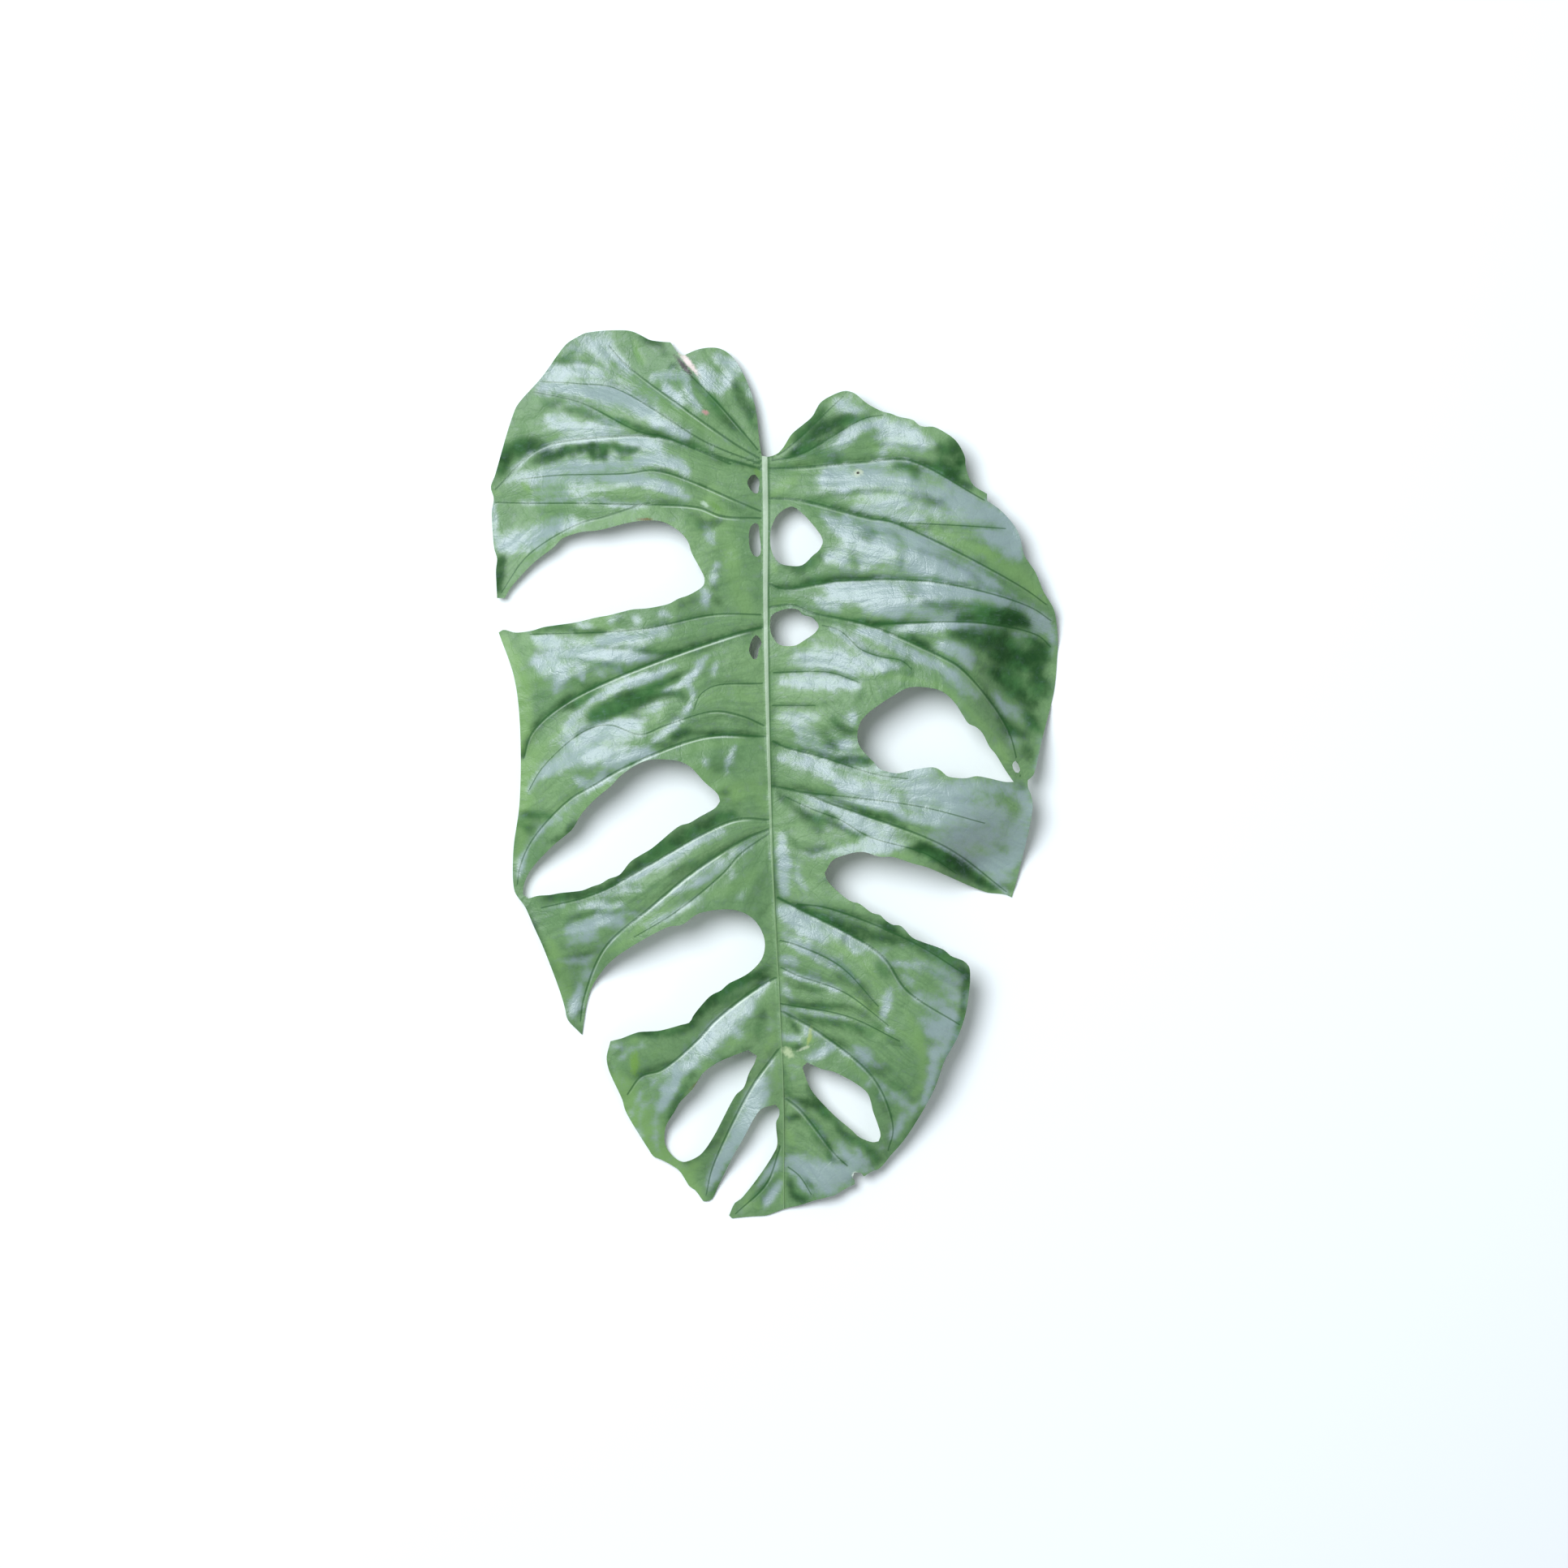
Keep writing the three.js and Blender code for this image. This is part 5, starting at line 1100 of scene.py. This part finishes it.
def closedBlade():
    # the net becomes the upper face, and its extruded copy the underside
    place = net.verts.layers.int.new("place")
    markLayer = net.verts.layers.float.new("veinMark")
    cordLayer = net.verts.layers.float.new("cordShare")
    tones = {"bloom": bloom, "paintedShade": paintedShade, "young": young, "light": light}
    toneLayers = {n: net.verts.layers.float.new(n) for n in tones}
    uv = net.loops.layers.uv.new("alongVeins")
    for v, (x, y, _), z, m, c in zip(net.verts, places, top, mark, fromMidrib / cord):
        v.co = x, y, z
        v[place] = v.index
        v[markLayer] = m
        v[cordLayer] = np.clip(c, -blade["cordShareLimit"], blade["cordShareLimit"])
    for name, field in tones.items():
        for v, value in zip(net.verts, field):
            v[toneLayers[name]] = value
    for face in net.faces:
        half = "left" if sum(v[columns] for v in face.verts) < 0 else "right"
        shift = 0 if half == "left" else blade["rightShift"]
        for corner in face.loops:
            i = corner.vert.index
            corner[uv].uv = abs(fromMidrib[i]) * blade["mapScale"], spreads[half][i] + shift
    made = bmesh.ops.extrude_face_region(net, geom=net.faces[:])["geom"]
    lower = {v for v in made if isinstance(v, bmesh.types.BMVert)}
    for v in lower:
        v.co.z = bottom[v[place]]
    bmesh.ops.recalc_face_normals(net, faces=net.faces[:])
    for face in net.faces:
        count = sum(v in lower for v in face.verts)
        face.smooth = True
        face.material_index = 0 if count == 0 else 1 if count == len(face.verts) else 2
    for edge in net.edges:
        kinds = {f.material_index for f in edge.link_faces}
        edge.smooth = len(kinds) == 1
    mesh = bpy.data.meshes.new("leafBlade")
    net.to_mesh(mesh)
    piece = bpy.data.objects.new("leafBlade", mesh)
    bpy.context.scene.collection.objects.link(piece)
    triangles = sum(len(f.verts) - 2 for f in net.faces)
    openEdges = sum(len(e.link_faces) != 2 for e in net.edges)
    print("blade closed with", triangles, "triangles and", openEdges, "open edges")
    return piece


leaf = closedBlade()


def linear(r, g, b):
    # a colour as it looks on a screen, 0 to 255, as the shader's light values
    shares = [c / 255 for c in (r, g, b)]
    return tuple(c / 12.92 if c <= 0.04 else ((c + 0.055) / 1.055) ** 2.4 for c in shares) + (1,)


def nodeAdder(tree):
    def add(kind, inputs=None, **settings):
        made = tree.nodes.new("ShaderNode" + kind)
        for key, value in settings.items():
            setattr(made, key, value)
        for key, value in (inputs or {}).items():
            if isinstance(value, bpy.types.NodeSocket):
                tree.links.new(value, made.inputs[key])
            else:
                made.inputs[key].default_value = value
        return made
    return add


def emptyMaterial(name):
    made = bpy.data.materials.new(name)
    made.use_nodes = True
    made.node_tree.nodes.clear()
    return made, nodeAdder(made.node_tree)


def mixed(add, share, first, second):
    return add("Mix", {0: share, 6: first, 7: second}, data_type="RGBA").outputs[2]


def ranged(add, value, low, high, start=0.0, end=1.0, kind="SMOOTHSTEP"):
    return add("MapRange", {0: value, 1: low, 2: high, 3: start, 4: end}, interpolation_type=kind).outputs[0]


def times(add, first, second):
    return add("Math", {0: first, 1: second}, operation="MULTIPLY").outputs[0]


def plus(add, total, value, share):
    return add("Math", {0: value, 1: share, 2: total}, operation="MULTIPLY_ADD").outputs[0]


def noiseOf(add, vector, scale, detail, roughness=0.5):
    return add("TexNoise", {"Vector": vector, "Scale": scale, "Detail": detail, "Roughness": roughness})


def cellWalls(add, vector, scale):
    return add("TexVoronoi", {"Vector": vector, "Scale": scale}, feature="DISTANCE_TO_EDGE").outputs[0]


def attribute(add, name):
    return add("Attribute", attribute_name=name).outputs["Fac"]


# Upper face: what a user would change
waxy = {
    "deep": (58, 92, 54),
    "mid": (98, 132, 88),
    "young": (118, 150, 102),
    # fresh: colour of the young strokes, the leaf's own yellow green in places and painted light in others
    "fresh": (118, 154, 90),
    # the two colours of the painted shade, deepest first
    "deepPaintedShade": (20, 60, 25),
    "paintedShadeColour": (52, 98, 52),
    # colour of the painted reflection, a blue grey sheen
    "bloom": (154, 166, 182),
    # painted shade in the vein creases, also laid faintly along the fine vein nets
    "veinLine": (44, 84, 44),
    # painted highlight along the lit lip under each vein
    "lip": (186, 202, 182),
    "cord": (158, 176, 150),
    "lowCord": (116, 146, 102),
    # painted shadow along the right side of the midrib's cord
    "cordEdge": (52, 88, 50),
    "specular": 0.5,
    "coat": 0.42,
    "coatRoughness": 0.26,
    "bumpStrength": 0.4,
    "bumpDistance": 0.5 * mm,
    "streakScale": (0.7, 9, 1),
    "wobbleSize": (6 * mm, 6 * mm, 6 * mm),
    "cells": 330,
    "fields": 95,
    "netLineShare": 0.05,
    "fieldLineShare": 0.12,
    "cordShadowShare": 0.6,
}

# Its noises: scale, detail and roughness
grains = {
    "broad": (22, 3, 0.55),
    "streak": (1, 3, 0.6),
    "fine": (700, 3, 0.6),
    "wobble": (160, 2),
    "patchy": (210, 2),
    "folds": (75, 3),
}

# Its masks: from and to which value they rise, and what they start and end at
masks = {
    "young": (0.3, 0.72),
    "streak": (0.35, 0.75, 0.0, 0.35),
    "fine": (0.3, 0.8, 0.0, 0.25),
    "netLine": (0.0, 0.12, 1.0, 0.0),
    "fieldLine": (0.0, 0.07, 1.0, 0.0),
    "fresh": (0.1, 1.15, 0.0, 0.7),
    "folds": (0.42, 0.68),
    "paintedShade": (0.3, 1.4, 0.0, 0.9),
    "bloom": (0.85, 1.75, 0.0, 0.52),
    "veinLine": (0.4, 1.5, 0.75, 0.0),
    "lipInside": (1.3, 1.9),
    "lipOutside": (2.3, 3.4, 1.0, 0.0),
    "lip": (0.15, 0.8, 0.0, 0.7),
    "lipByHalf": (-1, 1, 1, 0.3),
    "cordShadowInside": (0.9, 1.2),
    "cordShadowOutside": (1.4, 2.2, 1.0, 0.0),
    "cordByPlace": (-90 * mm, 80 * mm),
    "cord": (0.75, 1.1, 1.0, 0.0),
    "unshaded": (0.1, 0.9, 1.0, 0.12),
    "shine": (0.8, 1.5, 0.3, 1.0),
    "roughness": (0.3, 0.7, 0.36, 0.5, "LINEAR"),
}

# How much of each noise or line goes into the torn edge of a tone, and into the bump
tornShade = {"patchy": 0.7}
tornSheen = {"fine": 0.4, "streak": 0.5, "patchy": 0.8}
bumps = {"netLine": -0.08, "streak": 0.7, "fine": 0.7, "fieldLine": -0.2}


# Blemishes, and litFold, a painted highlight on a fold: place, half length and half width in millimetres,
# turn in degrees, strength and colour
blemishesAndHighlight = {
    "pinholeHalo": (43.3, 155.8, 2.8, 2.2, 20, 0.7, (196, 204, 176)),
    "pinhole": (43.3, 155.8, 1.1, 0.8, 20, 1, (28, 22, 14)),
    "smallScab": (-35.7, 187.3, 2.2, 1.3, -30, 0.8, (178, 128, 128)),
    "curledTear": (-44.4, 213.4, 8.6, 1.7, -51, 0.9, (216, 196, 192)),
    "tearLine": (-46.9, 211.8, 7.6, 1.5, -50, 1, (40, 34, 32)),
    "corkyScar": (7, -143.8, 3.8, 2.4, -40, 0.6, (190, 202, 160)),
    "scarDash": (15.5, -141.6, 4.2, 0.9, 22, 0.5, (196, 204, 176)),
    "yellowStreak": (18.3, -135.5, 5, 1.2, 80, 0.6, (158, 172, 96)),
    "brownEdge": (-66.8, 131.6, 4.2, 0.9, 0, 0.8, (104, 80, 48)),
    "brownHoleEdge": (-37.5, -157.5, 10, 0.8, 42, 0.6, (98, 88, 58)),
    "paleNick": (43, -208.6, 3.4, 1.8, -40, 0.8, (222, 226, 216)),
    "freshPatch": (-72.2, -150, 7, 2.8, 90, 0.6, (98, 136, 46)),
    "freshCrown": (-71.1, 217.6, 6.5, 1.7, -66, 0.5, (88, 134, 56)),
    "freshSide": (-128.5, 148.8, 4, 2, -45, 0.5, (92, 134, 54)),
    "freshFold": (-30.5, 138.6, 5, 1.6, -35, 0.55, (92, 134, 54)),
    # painted highlight on a fold
    "litFold": (-36, 139.6, 2.6, 1.2, -35, 0.45, (206, 222, 206)),
    "freshByHole": (-9, 156.4, 3, 1.6, -60, 0.45, (96, 134, 50)),
}


markEdge = (1.0, 2.0)
markRaggedness = 1.4


def withMarks(add, coords, fine, colour):
    for x, y, length, width, turn, strength, tint in blemishesAndHighlight.values():
        centred = add("Mapping", {"Vector": coords, "Location": (x * mm, y * mm, 0),
                                  "Rotation": (0, 0, math.radians(turn)),
                                  "Scale": (length * mm, width * mm, 1)}, vector_type="TEXTURE").outputs[0]
        flat = add("VectorMath", {0: centred, 1: (1, 1, 0)}, operation="MULTIPLY").outputs[0]
        away = add("VectorMath", {0: flat}, operation="LENGTH").outputs["Value"]
        ragged = plus(add, away, fine, markRaggedness)
        colour = mixed(add, ranged(add, ragged, *markEdge, strength, 0.0), colour, linear(*tint))
    return colour


def waxyMaterial():
    made, add = emptyMaterial("waxyLeaf")
    coords = add("TexCoord").outputs["Object"]
    alongVeins = add("UVMap", uv_map="alongVeins").outputs["UV"]
    stretched = add("Mapping", {"Vector": alongVeins, "Scale": waxy["streakScale"]}).outputs[0]
    noises = {name: noiseOf(add, stretched if name == "streak" else coords, *grain)
              for name, grain in grains.items()}
    values = {name: noise.outputs[0] for name, noise in noises.items()}
    wobble = {0: noises["wobble"].outputs[1], 1: waxy["wobbleSize"], 2: coords}
    netCoords = add("VectorMath", wobble, operation="MULTIPLY_ADD")
    for name, scale in (("netLine", waxy["cells"]), ("fieldLine", waxy["fields"])):
        values[name] = ranged(add, cellWalls(add, netCoords.outputs[0], scale), *masks[name])
    tones = {name: attribute(add, name) for name in ("bloom", "paintedShade", "young", "light")}
    veinMark, share = attribute(add, "veinMark"), attribute(add, "cordShare")
    cordDistance = add("Math", {0: share}, operation="ABSOLUTE").outputs[0]

    def masked(name, value):
        return ranged(add, value, *masks[name])

    def torn(value, shares):
        for name, amount in shares.items():
            value = plus(add, value, values[name], amount)
        return value

    green = linear(*waxy["mid"])
    # painted shade colour, between its deepest and its lighter tone by the folds noise
    paintedShadeColour = mixed(add, masked("folds", values["folds"]), linear(*waxy["deepPaintedShade"]), linear(*waxy["paintedShadeColour"]))
    raggedSheen = torn(tones["bloom"], tornSheen)
    litLine = times(add, masked("lipInside", veinMark), masked("lipOutside", veinMark))
    litLine = times(add, times(add, litLine, masked("lip", tones["light"])), masked("lipByHalf", share))
    # painted shadow line just right of the midrib's cord
    cordShadowLine = times(add, masked("cordShadowInside", share), masked("cordShadowOutside", share))
    alongLeaf = add("SeparateXYZ", {0: coords}).outputs["Y"]
    cord = mixed(add, masked("cordByPlace", alongLeaf), linear(*waxy["lowCord"]), linear(*waxy["cord"]))
    for amount, colour in (
        (masked("young", values["broad"]), "young"),
        (masked("streak", values["streak"]), "deep"),
        (masked("fine", values["fine"]), "deep"),
        (times(add, values["netLine"], waxy["netLineShare"]), "veinLine"),
        (times(add, values["fieldLine"], waxy["fieldLineShare"]), "veinLine"),
        # young strokes: fresh yellow green, partly painted light lifting lobes that face away from the key
        # lamp
        (masked("fresh", tones["young"]), "fresh"),
        # painted shade where the faces tilt away from the key lamp
        (masked("paintedShade", torn(tones["paintedShade"], tornShade)), paintedShadeColour),
        # painted reflection: blue grey sheen laid over the green
        (masked("bloom", raggedSheen), "bloom"),
        # painted shade along the crease of each vein
        (masked("veinLine", veinMark), "veinLine"),
        # painted highlight along the lit lip under each vein
        (litLine, "lip"),
        # painted shadow beside the midrib
        (times(add, cordShadowLine, waxy["cordShadowShare"]), "cordEdge"),
        (masked("cord", cordDistance), cord),
    ):
        green = mixed(add, amount, green, linear(*waxy[colour]) if isinstance(colour, str) else colour)
    green = withMarks(add, coords, values["fine"], green)
    bump = add("Bump", {"Height": torn(0.0, bumps), "Strength": waxy["bumpStrength"],
                        "Distance": waxy["bumpDistance"]}).outputs[0]
    shiny = times(add, masked("unshaded", tones["paintedShade"]), masked("shine", raggedSheen))
    skin = add("BsdfPrincipled", {"Base Color": green, "Roughness": masked("roughness", values["broad"]),
                                  "Normal": bump, "Coat Normal": bump,
                                  "Specular IOR Level": times(add, shiny, waxy["specular"]),
                                  "Coat Weight": times(add, shiny, waxy["coat"]),
                                  "Coat Roughness": waxy["coatRoughness"]})
    add("OutputMaterial", {"Surface": skin.outputs[0]})
    return made


# Underside and thin edge: what a user would change
matt = {
    "base": (128, 160, 112),
    "mottle": (110, 145, 92),
    "vein": (186, 204, 160),
    "edge": (120, 150, 92),
    "roughness": 0.55,
    "edgeRoughness": 0.6,
    "mottleGrain": (60, 4),
    "cells": 120,
    "netLineShare": 0.25,
    "mottleMask": (0.3, 0.7, 0.0, 0.5),
    "netLineMask": (0.0, 0.09, 1.0, 0.0),
    "veinMask": (1.2, 3.2, 0.9, 0.0),
    "cordMask": (1.0, 2.0, 1.0, 0.0),
    "bumpStrength": 0.4,
    "bumpDistance": 0.4 * mm,
}


def mattMaterial():
    made, add = emptyMaterial("mattUnderside")
    coords = add("TexCoord").outputs["Object"]
    mottle = noiseOf(add, coords, *matt["mottleGrain"]).outputs[0]
    mottle = ranged(add, mottle, *matt["mottleMask"])
    netLine = ranged(add, cellWalls(add, coords, matt["cells"]), *matt["netLineMask"])
    cordDistance = add("Math", {0: attribute(add, "cordShare")}, operation="ABSOLUTE").outputs[0]
    colour = mixed(add, mottle, linear(*matt["base"]), linear(*matt["mottle"]))
    for amount in (times(add, netLine, matt["netLineShare"]),
                   ranged(add, attribute(add, "veinMark"), *matt["veinMask"]),
                   ranged(add, cordDistance, *matt["cordMask"])):
        colour = mixed(add, amount, colour, linear(*matt["vein"]))
    bump = add("Bump", {"Height": netLine, "Strength": matt["bumpStrength"],
                        "Distance": matt["bumpDistance"]}).outputs[0]
    skin = add("BsdfPrincipled", {"Base Color": colour, "Roughness": matt["roughness"], "Normal": bump})
    add("OutputMaterial", {"Surface": skin.outputs[0]})
    return made


def plainMaterial(name, colour, roughness):
    made, add = emptyMaterial(name)
    skin = add("BsdfPrincipled", {"Base Color": linear(*colour), "Roughness": roughness})
    add("OutputMaterial", {"Surface": skin.outputs[0]})
    return made


for made in (waxyMaterial(), mattMaterial(),
             plainMaterial("leafEdge", matt["edge"], matt["edgeRoughness"])):
    leaf.data.materials.append(made)
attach(leaf, "root")
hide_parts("leaf")
print("leaf finished")

# Studio: floor, sky, soft lights and camera
studio = {
    "floor": (236, 238, 238),
    "floorRoughness": 0.9,
    "floorSize": 4,
    "underLeaf": 0.1 * mm,
    "sky": (0.86, 0.93, 1.0, 1),
    "skyStrength": 0.42,
    "keyPlace": (-0.863, 0.724, 2.119),
    "keySize": 1.5,
    "keyPower": 70,
    "keyColour": (0.88, 0.94, 1.0),
    "fillPlace": (1.6, -1.2, 2.2),
    "fillSize": 1.5,
    "fillPower": 6,
    "fillColour": (1, 1, 1),
    "lens": 100,
    "frameWidth": 0.811,
    "frameCentre": (0.00504, -0.00504, 0.014),
    "seenTo": 50,
}


def lamp(name, place, size, power, colour):
    data = bpy.data.lights.new(name, "AREA")
    data.shape = "DISK"
    data.size = size
    data.energy = power
    data.color = colour
    made = bpy.data.objects.new(name, data)
    made.location = place
    made.rotation_euler = (-Vector(place)).to_track_quat("-Z", "Y").to_euler()
    bpy.context.scene.collection.objects.link(made)


def makeStudio():
    ground = bmesh.new()
    bmesh.ops.create_grid(ground, x_segments=1, y_segments=1, size=studio["floorSize"])
    bmesh.ops.translate(ground, verts=ground.verts[:], vec=(0, 0, -studio["underLeaf"]))
    mesh = bpy.data.meshes.new("floor")
    ground.to_mesh(mesh)
    floor = bpy.data.objects.new("floor", mesh)
    bpy.context.scene.collection.objects.link(floor)
    floor.data.materials.append(plainMaterial("paleFloor", studio["floor"], studio["floorRoughness"]))
    sky = bpy.data.worlds.new("softSky")
    sky.use_nodes = True
    sky.node_tree.nodes["Background"].inputs[0].default_value = studio["sky"]
    sky.node_tree.nodes["Background"].inputs[1].default_value = studio["skyStrength"]
    bpy.context.scene.world = sky
    lamp("key", studio["keyPlace"], studio["keySize"], studio["keyPower"], studio["keyColour"])
    lamp("fill", studio["fillPlace"], studio["fillSize"], studio["fillPower"], studio["fillColour"])
    data = bpy.data.cameras.new("camera")
    data.lens = studio["lens"]
    data.clip_end = studio["seenTo"]
    camera = bpy.data.objects.new("camera", data)
    x, y, z = studio["frameCentre"]
    camera.location = x, y, z + studio["frameWidth"] * studio["lens"] / data.sensor_width
    bpy.context.scene.collection.objects.link(camera)
    bpy.context.scene.camera = camera
    bpy.context.scene.view_settings.view_transform = "Standard"


makeStudio()
